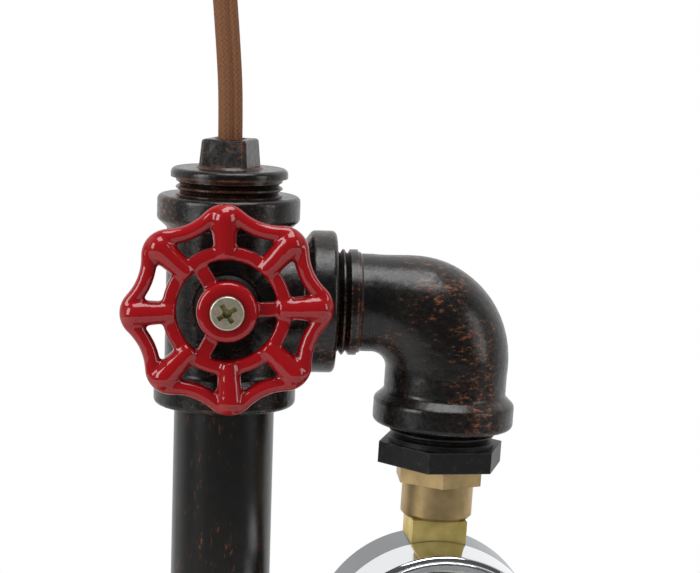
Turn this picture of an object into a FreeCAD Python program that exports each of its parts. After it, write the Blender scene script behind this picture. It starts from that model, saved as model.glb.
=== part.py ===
"""Industrial pipe table lamp, built piece by piece as a parametric FreeCAD document.

A cast-iron base carries a steel column. A tee low on the column holds a lampholder and bulb on a street
elbow, and a tee at its top holds a rotary dimmer with a handwheel in front, a pressure gauge on a second
street elbow, and a drilled square-head plug that the textile cord comes out of.

Millimetres. Origin: centre of the underside, on the column's axis. +Z up, +X towards the gauge, -Y is
the front, where the handwheel faces. Pipe fittings are turned in their own frames and then placed.
"""
import math
import os

import FreeCAD
import Part
import Sketcher
from FreeCAD import Placement, Rotation, Vector

X_AXIS, Y_AXIS, Z_AXIS = Vector(1, 0, 0), Vector(0, 1, 0), Vector(0, 0, 1)
FACE_FORWARD = Rotation(X_AXIS, 90)  # turns a piece made along +Z so that it faces -Y, with +Y up

# alias, value in mm (or degrees, or a count), meaning
DRIVING_SIZES = (
    # base and column
    ("pad_dia", 160, "rubber pad"),
    ("pad_thickness", 2, ""),
    ("base_dia", 170, "cast-iron base"),
    ("base_thickness", 12, ""),
    ("base_round", 4, "rounding of the base's top edge"),
    ("flange_dia", 76, "floor flange"),
    ("flange_plate", 5, "thickness of its plate"),
    ("flange_height", 22, ""),
    ("flange_hub_dia", 37, ""),
    ("flange_blend", 3, "fillet between plate and hub"),
    ("flange_seat", 18, "how far the lower tube goes into the flange"),
    ("flange_bolt_circle", 57, ""),
    ("flange_screw_count", 4, ""),
    ("flange_screw_dia", 5, ""),
    ("flange_screw_head", 9.5, "head diameter"),
    ("flange_screw_head_height", 3, ""),
    ("flange_screw_length", 13, "under the head"),
    ("tube_dia", 25, "column tube"),
    ("tube_wall", 1.8, ""),
    ("tube_seat", 11, "how far a tube goes into a fitting"),
    ("lower_tee_height", 105, "centre of the lower tee"),
    ("upper_tee_height", 419.4, "centre of the upper tee"),
    # malleable fittings
    ("fitting_reach", 27, "centre of a tee to the face of its branch"),
    ("run_reach", 26.15, "centre of a tee to the faces of its run"),
    ("band_dia", 35.4, "raised band at each mouth"),
    ("band_width", 6, ""),
    ("band_taper", 2.2, "length of the slope from band to body"),
    ("band_round", 1.3, "rim of a mouth"),
    ("band_blend", 1.4, "both ends of the slope"),
    ("tee_body_dia", 30.3, ""),
    ("tee_neck_dia", 29.6, "body of the branch"),
    ("tee_blend", 2, "fillet where the branch leaves the run"),
    ("core_dia", 20.5, "bore of the fittings"),
    ("socket_depth", 13, "threaded depth of a mouth"),
    ("thread_dia", 26.4, "3/4 inch pipe thread"),
    ("thread_pitch", 1.814, "14 to the inch"),
    ("thread_depth", 1.1, ""),
    ("thread_seat", 11, "length of thread screwed home"),
    ("grub_dia", 4, "grub screws at the back of the tube sockets"),
    # street elbow
    ("arm_reach", 55.5, "column axis to elbow axis"),
    ("elbow_start", 5.3, "thread left showing before the elbow's body"),
    ("elbow_neck_dia", 24.4, "body at the male end"),
    ("elbow_lip", 0.4, "height of the ring at the male end"),
    ("elbow_lip_width", 0.7, ""),
    ("elbow_body_dia", 30.7, "body at the female end"),
    ("elbow_crotch", 4, "radius inside the bend"),
    ("elbow_round", 25, "radius outside the bend"),
    ("elbow_drop", 29.8, "branch axis to the female face"),
    ("elbow_male_bore", 17, ""),
    ("gauge_lean", 2, "degrees the gauge leg leans towards the column"),
    # plug at the top
    ("plug_thread_shown", 4.4, ""),
    ("plug_flange_dia", 29, ""),
    ("plug_flange_height", 2.3, ""),
    ("plug_flange_round", 1.3, "upper edge"),
    ("plug_collar_dia", 16, "low round collar under the square"),
    ("plug_collar_height", 0.5, ""),
    ("plug_square", 12.6, "across the flats at its foot"),
    ("plug_square_height", 7.2, "above the flange"),
    ("plug_square_draft", 5, "degrees"),
    ("plug_square_turn", -19, "degrees from square to the front"),
    ("plug_square_chamfer", 1.1, ""),
    ("plug_square_round", 0.8, "round its top"),
    ("cord_hole_dia", 8, ""),
    ("bush_dia", 16, "cord bush inside the plug"),
    ("bush_height", 9, ""),
    ("bush_drop", 8, "top of the plug to top of the bush"),
    # hex bushings
    ("bushing_neck", 4.5, "thread left showing above the hexagon"),
    ("bushing_flats", 28.6, ""),
    ("bushing_hex_height", 5.3, ""),
    ("bushing_turn", 14.4, "degrees"),
    # brass adaptor and gauge
    ("gauge_thread_dia", 13.2, "1/4 inch pipe thread"),
    ("gauge_thread_length", 10, ""),
    ("adaptor_flats", 20.3, ""),
    ("adaptor_hex_height", 4.6, ""),
    ("adaptor_turn", 30, "degrees"),
    ("adaptor_sleeve_dia", 18, ""),
    ("adaptor_sleeve", 9.2, "length"),
    ("adaptor_chamfer", 0.9, ""),
    ("adaptor_bore", 7, ""),
    ("gauge_turn", 4.6, "degrees the dial faces away from the front"),
    ("stem_square", 13.8, ""),
    ("stem_exposed", 5.1, "square between the adaptor and the case"),
    ("stem_inside", 14, "length of the stem inside the case"),
    ("stem_bore", 4, ""),
    ("case_dia", 58.5, ""),
    ("case_wall", 0.8, ""),
    ("case_back", 8, "stem axis to the back of the case"),
    ("case_front", 22, "stem axis to the front edge of the case"),
    ("case_round", 2, "back edge"),
    ("case_shoulder", 1.05, "front edge, turned in to the bezel"),
    ("bezel_depth", 1.4, ""),
    ("bezel_lip", 0.7, "thickness in front of the glass"),
    ("bezel_round", 0.7, ""),
    ("bezel_window", 52.6, "clear diameter of the glass"),
    ("glass_dia", 54.6, ""),
    ("glass_thickness", 1.6, ""),
    ("seal_thickness", 0.8, "rubber ring behind the glass"),
    ("spacer_wall", 1.2, "ring between dial and seal"),
    ("dial_thickness", 0.6, ""),
    ("dial_back", 14, "stem axis to the back of the dial"),
    ("movement_depth", 7, "between the outside faces of the movement's plates"),
    ("movement_plate", 1, ""),
    ("movement_width", 15, ""),
    ("movement_start", 2, "stem axis to the back plate"),
    ("layer_gap", 0.6, "between the movement's plates, link and sector"),
    ("sector_thickness", 1, ""),
    ("sector_half_angle", 16, "degrees"),
    ("sector_travel", 27, "degrees, for a pointer travel of ten times as much"),
    ("sector_tail", 4, "pivot to the link's pin"),
    ("sector_ratio", 10, "turns of the pinion to one of the sector"),
    ("pinion_radius", 1.35, "pitch radius"),
    ("pitch_clearance", 0.15, "pinion and sector stand this far inside their pitch circles"),
    ("link_thickness", 0.8, ""),
    ("link_width", 3.6, ""),
    ("slot_clearance", 0.5, "round the tip's pin in the link's slot"),
    ("tip_pin_dia", 1, ""),
    ("arbor_dia", 1.2, "pinion and sector shafts"),
    ("arbor_clearance", 0.05, "radial"),
    ("pointer_gap", 0.8, "dial to pointer"),
    ("pointer_length", 20, ""),
    ("pointer_tail", 7, ""),
    ("pointer_thickness", 0.4, ""),
    ("pointer_hub_dia", 3.2, ""),
    ("pointer_rest", 225, "degrees, where the pointer stands with no pressure"),
    ("bourdon_radius", 20, ""),
    ("bourdon_depth", 5, "along the gauge's axis"),
    ("bourdon_width", 2, "radially"),
    ("bourdon_back", 6, "stem axis to the back of the tube"),
    ("bourdon_start", 100, "degrees, where it leaves the stem"),
    ("bourdon_cap", 4, "degrees of solid at each end"),
    ("case_screw_dia", 3, "screws through the back of the case"),
    ("case_screw_spread", 3.5, "stem axis to each screw"),
    ("case_screw_head", 5.4, ""),
    # dimmer and handwheel
    ("dimmer_rise", 0.6, "its axis above the tee's centre"),
    ("boss_dia", 17, "seat on the front of the upper tee"),
    ("boss_reach", 16, "column axis to the seat"),
    ("dimmer_bush_dia", 8, ""),
    ("spindle_dia", 6, ""),
    ("spindle_clearance", 0.05, "radial"),
    ("nut_dia", 15.5, ""),
    ("nut_height", 2.6, ""),
    ("bush_proud", 0.7, "dimmer bush past the nut"),
    ("dimmer_dia", 14.6, ""),
    ("dimmer_front", 7, "column axis to the dimmer's front"),
    ("dimmer_back", 3.4, "column axis to the dimmer's back"),
    ("dimmer_wall", 1.4, ""),
    ("wiper_dia", 10, ""),
    ("wiper_thickness", 2, ""),
    ("hub_dia", 14.7, "handwheel"),
    ("hub_back", 20.1, "column axis to the back of the hub"),
    ("hub_front", 26.6, "column axis to the face of the hub"),
    ("hub_round", 1.2, ""),
    ("spindle_square", 4.6, "across the flats"),
    ("wheel_plane", 22.4, "column axis to the middle of the rim"),
    ("wheel_turn", 3, "degrees"),
    ("web_count", 3, "flat webs from hub to ring"),
    ("web_width", 3.6, ""),
    ("web_thickness", 2.4, ""),
    ("ring_inner_dia", 24.2, ""),
    ("ring_outer_dia", 31.2, ""),
    ("ring_thickness", 3, ""),
    ("finger_count", 8, "round fingers over the ring to the rim"),
    ("finger_dia", 5.2, "at the ring"),
    ("fingertip_dia", 6.7, ""),
    ("wheel_radius", 25.7, "centre to the rim's edge at a finger"),
    ("rim_dia", 3.9, "bar of the rim"),
    ("rim_dip", 2.9, "how much nearer the rim runs between two fingers"),
    ("rim_crest", 4.5, "radius of the rim's middle line round a finger's end"),
    ("wheel_screw_turn", 31, "degrees"),
    ("wheel_screw_head", 8.3, ""),
    ("wheel_screw_head_height", 1.5, ""),
    ("wheel_screw_dia", 3.2, ""),
    ("wheel_screw_length", 11, ""),
    ("wheel_recess", 5, "cross recess, over its arms"),
    ("wheel_recess_slot", 1.15, "width of an arm"),
    # lampholder and bulb
    ("nipple_dia", 10, "threaded tube, 1 mm pitch"),
    ("nipple_bore", 7, ""),
    ("nipple_length", 20, ""),
    ("nipple_shown", 5, "length inside the lampholder"),
    ("locknut_flats", 15, ""),
    ("locknut_height", 3, "between bushing and lampholder"),
    ("holder_dia", 40, ""),
    ("holder_cap_height", 17, ""),
    ("holder_cap_round", 5, ""),
    ("holder_wall", 1.5, ""),
    ("skirt_height", 36, ""),
    ("skirt_overlap", 5, "length of the skirt inside the cap"),
    ("insert_height", 12, "porcelain insert"),
    ("terminal_dia", 3, "terminal screws under the insert"),
    ("terminal_spread", 9, "lamp axis to each terminal"),
    ("shell_bore", 26.8, "screw shell"),
    ("shell_wall", 0.5, ""),
    ("shell_height", 19, ""),
    ("lamp_cap_dia", 26.2, "E27 cap"),
    ("lamp_cap_height", 26, "with its contact"),
    ("lamp_cap_insulator", 5.6, "height of contact and insulator"),
    ("lamp_contact_height", 2.2, ""),
    ("contact_gap", 0.3, "lampholder's contact to the bulb's"),
    ("bulb_dia", 64, ""),
    ("bulb_length", 140, ""),
    ("bulb_wall", 1, ""),
    ("filament_dia", 0.5, ""),
    ("filament_turns", 6, ""),
    # cord
    ("cord_dia", 6, "width of the two-core cord"),
    ("lead_dia", 4, "two cores without their braid"),
    ("lead_clearance", 1.6, "lead to the back of the dimmer"),
    ("coil_mean_dia", 60, ""),
    ("coil_columns", 3, "turns side by side"),
    ("coil_layers", 2, ""),
    ("plug_body_width", 34, "mains plug"),
    ("plug_body_height", 13.6, ""),
    ("plug_body_length", 36, ""),
    ("plug_pin_dia", 4, ""),
    ("plug_pin_length", 19, ""),
    ("plug_pin_gap", 18.6, ""),
    ("plug_sleeve_length", 24, "strain relief"),
    ("plug_sleeve_dia", 9.6, "at the plug"),
    ("plug_sleeve_lip", 0.6, "wall where the cord goes in"),
)


class Size:
    """A length that knows both its value and the spreadsheet expression that gives it."""

    def __init__(self, value, text):
        self.value, self.text = value, text

    def _with(self, other, sign, value, swap=False):
        other_text = other.text if isinstance(other, Size) else repr(float(other))
        left, right = (other_text, self.text) if swap else (self.text, other_text)
        return Size(value, f"({left} {sign} {right})")

    def __add__(self, other):
        return self._with(other, "+", self.value + number(other))

    def __radd__(self, other):
        return self._with(other, "+", number(other) + self.value, swap=True)

    def __sub__(self, other):
        return self._with(other, "-", self.value - number(other))

    def __rsub__(self, other):
        return self._with(other, "-", number(other) - self.value, swap=True)

    def __mul__(self, other):
        return self._with(other, "*", self.value * number(other))

    __rmul__ = __mul__

    def __truediv__(self, other):
        return self._with(other, "/", self.value / number(other))

    def __neg__(self):
        return Size(-self.value, f"(-{self.text})")


def number(size):
    """The value of a size, or of a plain number."""
    return size.value if isinstance(size, Size) else float(size)


class Sizes:
    """The spreadsheet, with one attribute per alias."""

    def __init__(self, doc):
        sheet = doc.addObject("Spreadsheet::Sheet", "Sizes")
        for row, (alias, value, meaning) in enumerate(DRIVING_SIZES, start=1):
            sheet.set(f"A{row}", alias)
            sheet.set(f"B{row}", str(value))
            sheet.set(f"C{row}", meaning)
            sheet.setAlias(f"B{row}", alias)
            setattr(self, alias, Size(float(value), f"Sizes.{alias}"))


doc = FreeCAD.newDocument("PipeLamp")
size = Sizes(doc)
doc.recompute()


# ---------------------------------------------------------------- how pieces are made


def sine(angle):
    """Of an angle in degrees."""
    return Size(math.sin(math.radians(number(angle))), f"sin({angle.text} * 1deg)")


def cosine(angle):
    """Of an angle in degrees."""
    return Size(math.cos(math.radians(number(angle))), f"cos({angle.text} * 1deg)")


def root(value):
    """Square root."""
    return Size(math.sqrt(number(value)), f"sqrt({value.text})")


def arc_sine(value):
    """The angle in degrees."""
    return Size(math.degrees(math.asin(number(value))), f"asin({value.text}) / 1deg")


def bind(thing, prop, value):
    """Give a property a plain number, or a size together with its expression."""
    if isinstance(value, Size):
        thing.setExpression(prop, value.text)
    else:
        setattr(thing, prop, value)


def new_body(name, base=(0, 0, 0), rotation=Rotation()):
    """An empty body at a place, which follows the sizes the place is made of."""
    body = doc.addObject("PartDesign::Body", name)
    body.Label = name
    body.Placement = Placement(Vector(*[number(place) for place in base]), rotation)
    for axis, place in zip("xyz", base):
        if isinstance(place, Size):
            body.setExpression(f".Placement.Base.{axis}", place.text)
    return body


def origin_plane(body, role):
    """One of the body's own planes or axes."""
    return next(item for item in body.Origin.OriginFeatures if item.Role == role)


def new_sketch(body, role, offset=(0, 0, 0), turn=Rotation()):
    """A sketch on one of the body's own planes, moved by offset and turned in the plane's frame."""
    sketch = body.newObject("Sketcher::SketchObject", f"{body.Name}_sketch")
    sketch.AttachmentSupport = [(origin_plane(body, role), "")]
    sketch.MapMode = "FlatFace"
    sketch.AttachmentOffset = Placement(Vector(*[number(place) for place in offset]), turn)
    for axis, place in zip("xyz", offset):
        if isinstance(place, Size):
            sketch.setExpression(f".AttachmentOffset.Base.{axis}", place.text)
    return sketch


def hold_point(sketch, geometry, position, x, y):
    """Tie a point to its distances from the sketch's origin."""
    for kind, value in (("DistanceX", x), ("DistanceY", y)):
        index = sketch.addConstraint(
            Sketcher.Constraint(kind, -1, 1, geometry, position, number(value))
        )
        if isinstance(value, Size):
            sketch.setExpression(f"Constraints[{index}]", value.text)


def round_to(end, centre):
    """An outline's stretch: an arc about a centre, to a point."""
    return end, centre


def add_outline(sketch, points):
    """A closed outline. A stretch is straight, or an arc where its end is given with round_to."""
    ends = [point[0] if isinstance(point[0], tuple) else point for point in points]
    centres = [point[1] if isinstance(point[0], tuple) else None for point in points]
    stretches = []
    for index, end in enumerate(ends):
        start, centre = ends[index - 1], centres[index]
        start_at, end_at = [Vector(number(p[0]), number(p[1]), 0) for p in (start, end)]
        if centre is None:
            geometry = sketch.addGeometry(Part.LineSegment(start_at, end_at), False)
            stretches.append((geometry, 1, 2))
            continue
        middle = Vector(number(centre[0]), number(centre[1]), 0)
        first, last = start_at - middle, end_at - middle
        leftwards = first.cross(last).z > 0
        low, high = (first, last) if leftwards else (last, first)
        circle = Part.Circle(middle, Z_AXIS, first.Length)
        arc = Part.ArcOfCircle(circle, math.atan2(low.y, low.x), math.atan2(high.y, high.x))
        geometry = sketch.addGeometry(arc, False)
        stretches.append((geometry, 1, 2) if leftwards else (geometry, 2, 1))
        chord = end_at - start_at
        upright = abs(chord.y) > abs(chord.x)
        kind, value = ("DistanceX", centre[0]) if upright else ("DistanceY", centre[1])
        index_held = sketch.addConstraint(
            Sketcher.Constraint(kind, -1, 1, geometry, 3, number(value))
        )
        if isinstance(value, Size):
            sketch.setExpression(f"Constraints[{index_held}]", value.text)
    for index, (geometry, first_at, last_at) in enumerate(stretches):
        before, _, end_before = stretches[index - 1]
        sketch.addConstraint(Sketcher.Constraint("Coincident", before, end_before, geometry, first_at))
    for (geometry, _, last_at), end in zip(stretches, ends):
        hold_point(sketch, geometry, last_at, *end)
    return sketch


def add_circles(sketch, circles):
    """Circles given as (x, y, diameter)."""
    for x, y, diameter in circles:
        radius = number(diameter) / 2
        circle = Part.Circle(Vector(number(x), number(y), 0), Z_AXIS, radius)
        geometry = sketch.addGeometry(circle, False)
        hold_point(sketch, geometry, 3, x, y)
        index = sketch.addConstraint(Sketcher.Constraint("Diameter", geometry, 2 * radius))
        if isinstance(diameter, Size):
            sketch.setExpression(f"Constraints[{index}]", diameter.text)
    return sketch


def outline(body, points, role="XZ_Plane", offset=(0, 0, 0), turn=Rotation()):
    """A closed outline in a sketch of its own."""
    return add_outline(new_sketch(body, role, offset, turn), points)


def circles(body, rings, role="XY_Plane", offset=(0, 0, 0), turn=Rotation()):
    """Circles in a sketch of their own."""
    return add_circles(new_sketch(body, role, offset, turn), rings)


def rectangle(x_low, x_high, y_low, y_high):
    """Outline points from two limits each way."""
    return [(x_low, y_low), (x_high, y_low), (x_high, y_high), (x_low, y_high)]


def rounded_rectangle(x_low, x_high, y_low, y_high, corner):
    """The same with its corners rounded."""
    left, right, bottom, top = x_low + corner, x_high - corner, y_low + corner, y_high - corner
    return [
        (right, y_low), round_to((x_high, bottom), (right, bottom)),
        (x_high, top), round_to((right, y_high), (right, top)),
        (left, y_high), round_to((x_low, top), (left, top)),
        (x_low, bottom), round_to((left, y_low), (left, bottom)),
    ]


def turned(body, sketch, axis="V_Axis", cut=False, angle=360, both_ways=False):
    """Revolve a sketch about one of its axes, to add or to cut."""
    kind = "PartDesign::Groove" if cut else "PartDesign::Revolution"
    feature = body.newObject(kind, f"{body.Name}_turned")
    feature.Profile = sketch
    feature.ReferenceAxis = (sketch, [axis])
    feature.Midplane = both_ways
    bind(feature, "Angle", angle)
    return feature


def padded(body, sketch, length, cut=False, backwards=False, both_ways=False, draft=None):
    """Extend a sketch along its normal, to add or to cut."""
    kind = "PartDesign::Pocket" if cut else "PartDesign::Pad"
    feature = body.newObject(kind, f"{body.Name}_pad")
    feature.Profile = sketch
    bind(feature, "Length", length)
    feature.Reversed = backwards
    feature.Midplane = both_ways
    if draft is not None:
        bind(feature, "TaperAngle", draft)
    return feature


def lofted(body, sketches, cut=False):
    """Join sketches in their order, to add or to cut."""
    kind = "PartDesign::SubtractiveLoft" if cut else "PartDesign::AdditiveLoft"
    feature = body.newObject(kind, f"{body.Name}_loft")
    feature.Profile = sketches[0]
    feature.Sections = sketches[1:]
    return feature


def repeated_round(body, features, count):
    """Copies of features, spread round the body's Z axis."""
    pattern = body.newObject("PartDesign::PolarPattern", f"{body.Name}_pattern")
    pattern.Originals = features
    pattern.Axis = (origin_plane(body, "Z_Axis"), [""])
    pattern.Angle = 360
    bind(pattern, "Occurrences", count)
    body.Tip = pattern
    return pattern


def edges_where(feature, wanted):
    """Names of the edges that a test picks."""
    doc.recompute()
    return [f"Edge{i}" for i, edge in enumerate(feature.Shape.Edges, start=1) if wanted(edge)]


def is_ring(edge, radius, height=None):
    """Whether an edge is a circle of this radius, at this height where one is given."""
    if not isinstance(edge.Curve, Part.Circle) or abs(edge.Curve.Radius - number(radius)) > 1e-4:
        return False
    return height is None or abs(edge.Curve.Center.z - number(height)) < 1e-4


def dressed(body, kind, base, edges, amount):
    """A fillet or chamfer on named edges of a feature."""
    feature = body.newObject(f"PartDesign::{kind}", f"{body.Name}_{kind}")
    feature.Base = (base, edges)
    bind(feature, "Radius" if kind == "Fillet" else "Size", amount)
    return feature


def hexagon(flats):
    """Six corners, the first on the sketch's X axis."""
    reach = flats / math.sqrt(3)
    corners = [math.radians(60 * step) for step in range(6)]
    return [(reach * math.cos(corner), reach * math.sin(corner)) for corner in corners]


def thread_rings(start, length, radius, direction=1):
    """Outline points of as many whole V grooves as fit in a length of thread, from start onwards.

    The grooves are rings, not a helix, and stop short of the crest so that it keeps a flat.
    """
    points = []
    for turn in range(int(number(length) / number(size.thread_pitch) + 0.05)):
        for share, sunk in ((0.1, 0), (0.5, size.thread_depth), (0.9, 0)):
            place = start + size.thread_pitch * (turn + share) * direction
            points.append((radius - sunk, place))
    return points


def swap(points):
    """The same outline with its two coordinates exchanged, for turning about the X axis."""
    return [(b, a) for a, b in points]


def plain_part(name, shape, placement=Placement()):
    """A piece whose shape comes straight from Part's own functions."""
    part = doc.addObject("Part::Feature", name)
    part.Label = name
    part.Shape = shape
    part.Placement = placement
    return part


def bent_wire(points, fixed):
    """Straight runs joined by tangent arcs, and the arcs' radii.

    An arc takes 0.45 of the shorter of its two runs on each side of its point, or has the radius that
    fixed gives for that point.
    """
    knots = [Vector(*point) for point in points]
    edges, radii, start = [], [], knots[0]
    for index in range(1, len(knots) - 1):
        corner = knots[index]
        incoming, outgoing = knots[index - 1] - corner, knots[index + 1] - corner
        shorter = min(incoming.Length, outgoing.Length)
        incoming.normalize()
        outgoing.normalize()
        half_turn = (math.pi - incoming.getAngle(outgoing)) / 2
        radius = fixed.get(index, 0.45 * shorter / math.tan(half_turn))
        reach = radius * math.tan(half_turn)
        first, last = corner + incoming * reach, corner + outgoing * reach
        towards_centre = (incoming + outgoing).normalize()
        middle = corner + towards_centre * (radius / math.cos(half_turn) - radius)
        edges.append(Part.LineSegment(start, first).toShape())
        edges.append(Part.Arc(first, middle, last).toShape())
        radii.append(radius)
        start = last
    edges.append(Part.LineSegment(start, knots[-1]).toShape())
    return Part.Wire(edges), radii


def tube_along(name, points, diameter, fixed={}):
    """A round cord along a route. Its length and its tightest arc are printed."""
    wire, radii = bent_wire(points, fixed)
    radius, first = number(diameter) / 2, wire.Edges[0]
    heading = first.tangentAt(first.FirstParameter)
    section = Part.Wire(Part.makeCircle(radius, Vector(*points[0]), heading))
    shape = wire.makePipeShell([section], True, False)
    expected = math.pi * radius**2 * wire.Length
    if abs(shape.Volume / expected - 1) > 0.01:
        raise RuntimeError(f"{name}: volume {shape.Volume:.0f}, expected {expected:.0f}")
    print(f"{name}: {wire.Length:.1f} mm long, arcs from {min(radii):.1f} to {max(radii):.1f} mm")
    return plain_part(name, shape)


# ---------------------------------------------------------------- places that pieces share

base_top = size.pad_thickness + size.base_thickness
flange_top = base_top + size.flange_height
plug_seat = size.upper_tee_height + size.run_reach
wheel_height = size.upper_tee_height + size.dimmer_rise
plug_top = size.plug_thread_shown + size.plug_flange_height + size.plug_square_height
cord_exit = plug_seat + plug_top - size.bush_drop

bend_reach = size.elbow_crotch + size.elbow_body_dia / 2
bend_drop = size.elbow_crotch + size.elbow_neck_dia / 2
elbow_leg = size.elbow_drop - bend_drop

bushing_height = size.bushing_neck + size.bushing_hex_height
adaptor_height = size.adaptor_hex_height + size.adaptor_sleeve
case_radius = size.case_dia / 2
gauge_centre_station = bushing_height + adaptor_height + size.stem_exposed + case_radius

lamp_face = size.lower_tee_height + size.elbow_drop
holder_foot = lamp_face + bushing_height + size.locknut_height
skirt_foot = size.holder_cap_height - size.skirt_overlap
skirt_radius = size.holder_dia / 2 - size.holder_wall
insert_radius = skirt_radius - size.holder_wall
insert_top = skirt_foot + size.insert_height
bulb_foot = insert_top + size.lamp_contact_height + size.contact_gap


def leg_place(station):
    """A point on the gauge leg's axis, at a distance below the elbow's face."""
    lean_sine, lean_cosine = sine(size.gauge_lean), cosine(size.gauge_lean)
    below = elbow_leg + station
    x = size.arm_reach - bend_reach + bend_reach * lean_cosine - below * lean_sine
    z = size.upper_tee_height - bend_drop - bend_reach * lean_sine - below * lean_cosine
    return x, 0, z


def leg_rotation(turn):
    """The gauge leg's lean, and a turn about the leg."""
    return Rotation(Y_AXIS, number(size.gauge_lean)) * Rotation(Z_AXIS, number(turn))


def leg_body(name, station, turn):
    """A body on the gauge leg: Z points up the leg."""
    return new_body(name, leg_place(station), leg_rotation(turn))


def gauge_body(name, turn=0):
    """A body at the gauge's centre: Z points out of the dial, Y up the leg."""
    facing = leg_rotation(size.gauge_turn) * FACE_FORWARD * Rotation(Z_AXIS, number(turn))
    return new_body(name, leg_place(gauge_centre_station), facing)


def wheel_body(name, turn=0):
    """A body on the dimmer's axis: Z points forward, out of the tee."""
    facing = FACE_FORWARD * Rotation(Z_AXIS, number(turn))
    return new_body(name, (0, 0, wheel_height), facing)


def lamp_body(name, height=0):
    """A body on the lamp's axis, at a height above the foot of the lampholder."""
    return new_body(name, (-size.arm_reach, 0, holder_foot + height))


# ---------------------------------------------------------------- base and column


def rubber_pad():
    """Origin on the table."""
    body = new_body("rubber_pad")
    padded(body, circles(body, [(0, 0, size.pad_dia)]), size.pad_thickness)


def flange_bolts():
    """Centres of the bolts on the flange's circle."""
    reach = size.flange_bolt_circle / 2
    count = int(number(size.flange_screw_count))
    angles = [math.tau * (step + 0.5) / count for step in range(count)]
    return [(reach * math.cos(angle), reach * math.sin(angle)) for angle in angles]


def flange_holes(body, top, depth):
    """Screw holes on the flange's bolt circle, down from a height."""
    holes = [(x, y, size.flange_screw_dia) for x, y in flange_bolts()]
    return padded(body, circles(body, holes, offset=(0, 0, top)), depth, cut=True)


def base_plate():
    """A disc with a rounded edge, drilled from above for the flange's screws."""
    body = new_body("base_plate", (0, 0, size.pad_thickness))
    disc = padded(body, circles(body, [(0, 0, size.base_dia)]), size.base_thickness)
    rim = edges_where(disc, lambda edge: is_ring(edge, size.base_dia / 2, size.base_thickness))
    dressed(body, "Fillet", disc, rim, size.base_round)
    flange_holes(body, size.base_thickness, size.flange_screw_length - size.flange_plate)


def floor_flange():
    """A plate with four screw holes and a hub that the lower tube stands in."""
    body = new_body("floor_flange", (0, 0, base_top))
    hub, rim = size.flange_hub_dia / 2, size.flange_dia / 2
    plate, top, bore = size.flange_plate, size.flange_height, size.tube_dia / 2
    turned(body, outline(body, [(0, 0), (rim, 0), (rim, plate), (hub, plate), (hub, top), (0, top)]))
    turned(body, outline(body, rectangle(0, bore, top - size.flange_seat, top)), cut=True)
    drilled = flange_holes(body, plate, plate)
    foot = edges_where(drilled, lambda edge: is_ring(edge, hub, plate))
    blended = dressed(body, "Fillet", drilled, foot, size.flange_blend)
    rims = edges_where(blended, lambda edge: is_ring(edge, rim, plate) or is_ring(edge, hub, top))
    dressed(body, "Fillet", blended, rims, size.band_round)


def slotted_screw(head_dia, head_height, shank_dia, length):
    """A screw with its head above z 0 and its shank below."""
    radius, height, shank, depth = map(number, (head_dia / 2, head_height, shank_dia / 2, length))
    slot_width, slot_depth = radius / 3, height / 2
    corner = Vector(-radius, -slot_width / 2, height - slot_depth)
    slot = Part.makeBox(2 * radius, slot_width, slot_depth, corner)
    head = Part.makeCylinder(radius, height).cut(slot)
    return head.fuse(Part.makeCylinder(shank, depth, Vector(0, 0, -depth))).removeSplitter()


def copies(shape, places, rotation=Rotation()):
    """Separate solids of one shape, in one compound."""
    moves = [Placement(Vector(*map(number, place)), rotation) for place in places]
    return Part.makeCompound([shape.transformed(move.toMatrix()) for move in moves])


def flange_screws():
    """One in each hole of the flange."""
    head, height = size.flange_screw_head, size.flange_screw_head_height
    screw = slotted_screw(head, height, size.flange_screw_dia, size.flange_screw_length)
    seats = [(x, y, base_top + size.flange_plate) for x, y in flange_bolts()]
    plain_part("flange_screws", copies(screw, seats))


def tube(name, foot, top):
    """A length of the column's tube between two heights."""
    body = new_body(name, (0, 0, foot))
    rings = [(0, 0, size.tube_dia), (0, 0, size.tube_dia - 2 * size.tube_wall)]
    padded(body, circles(body, rings), top - foot)


def column_tubes():
    """From the flange to the lower tee, and from there to the upper tee."""
    reach, seat = size.run_reach - size.tube_seat, size.flange_seat
    tube("lower_tube", flange_top - seat, size.lower_tee_height - reach)
    tube("column_tube", size.lower_tee_height + reach, size.upper_tee_height - reach)


def grub_height(side):
    """Height of a grub screw above a tee's centre, in the lower mouth (-1) or the upper one (1)."""
    return (size.run_reach - size.band_width / 2) * side


def grub_screws():
    """Three alike, at the back of the mouths that hold a tube."""
    start, length = size.tube_dia / 2, number((size.band_dia - size.tube_dia) / 2 - size.band_round)
    screw = Part.makeCylinder(number(size.grub_dia) / 2, length)
    recess = Part.makeCylinder(number(size.grub_dia) / 4, length / 2, Vector(0, 0, length / 2))
    heights = [size.lower_tee_height + grub_height(side) for side in (-1, 1)]
    heights.append(size.upper_tee_height + grub_height(-1))
    places = [(0, start, height) for height in heights]
    plain_part("grub_screws", copies(screw.cut(recess), places, Rotation(X_AXIS, -90)))


# ---------------------------------------------------------------- malleable fittings


def blank_tee(body):
    """Outside of a tee: a run along Z with a band at each end, and a branch along +X."""
    run, reach, band = size.run_reach, size.fitting_reach, size.band_dia / 2
    trunk, neck = size.tee_body_dia / 2, size.tee_neck_dia / 2
    band_foot, side_band_foot = run - size.band_width, reach - size.band_width
    slope_foot, side_slope_foot = band_foot - size.band_taper, side_band_foot - size.band_taper
    turned(body, outline(body, [
        (0, -run), (band, -run), (band, -band_foot), (trunk, -slope_foot),
        (trunk, slope_foot), (band, band_foot), (band, run), (0, run)]))
    branch = turned(body, outline(body, [
        (0, 0), (0, neck), (side_slope_foot, neck), (side_band_foot, band), (reach, band), (reach, 0)]),
        "H_Axis")
    saddle = edges_where(branch, lambda edge: not isinstance(edge.Curve, (Part.Circle, Part.Line)))
    return dressed(body, "Fillet", branch, saddle, size.tee_blend)


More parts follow.
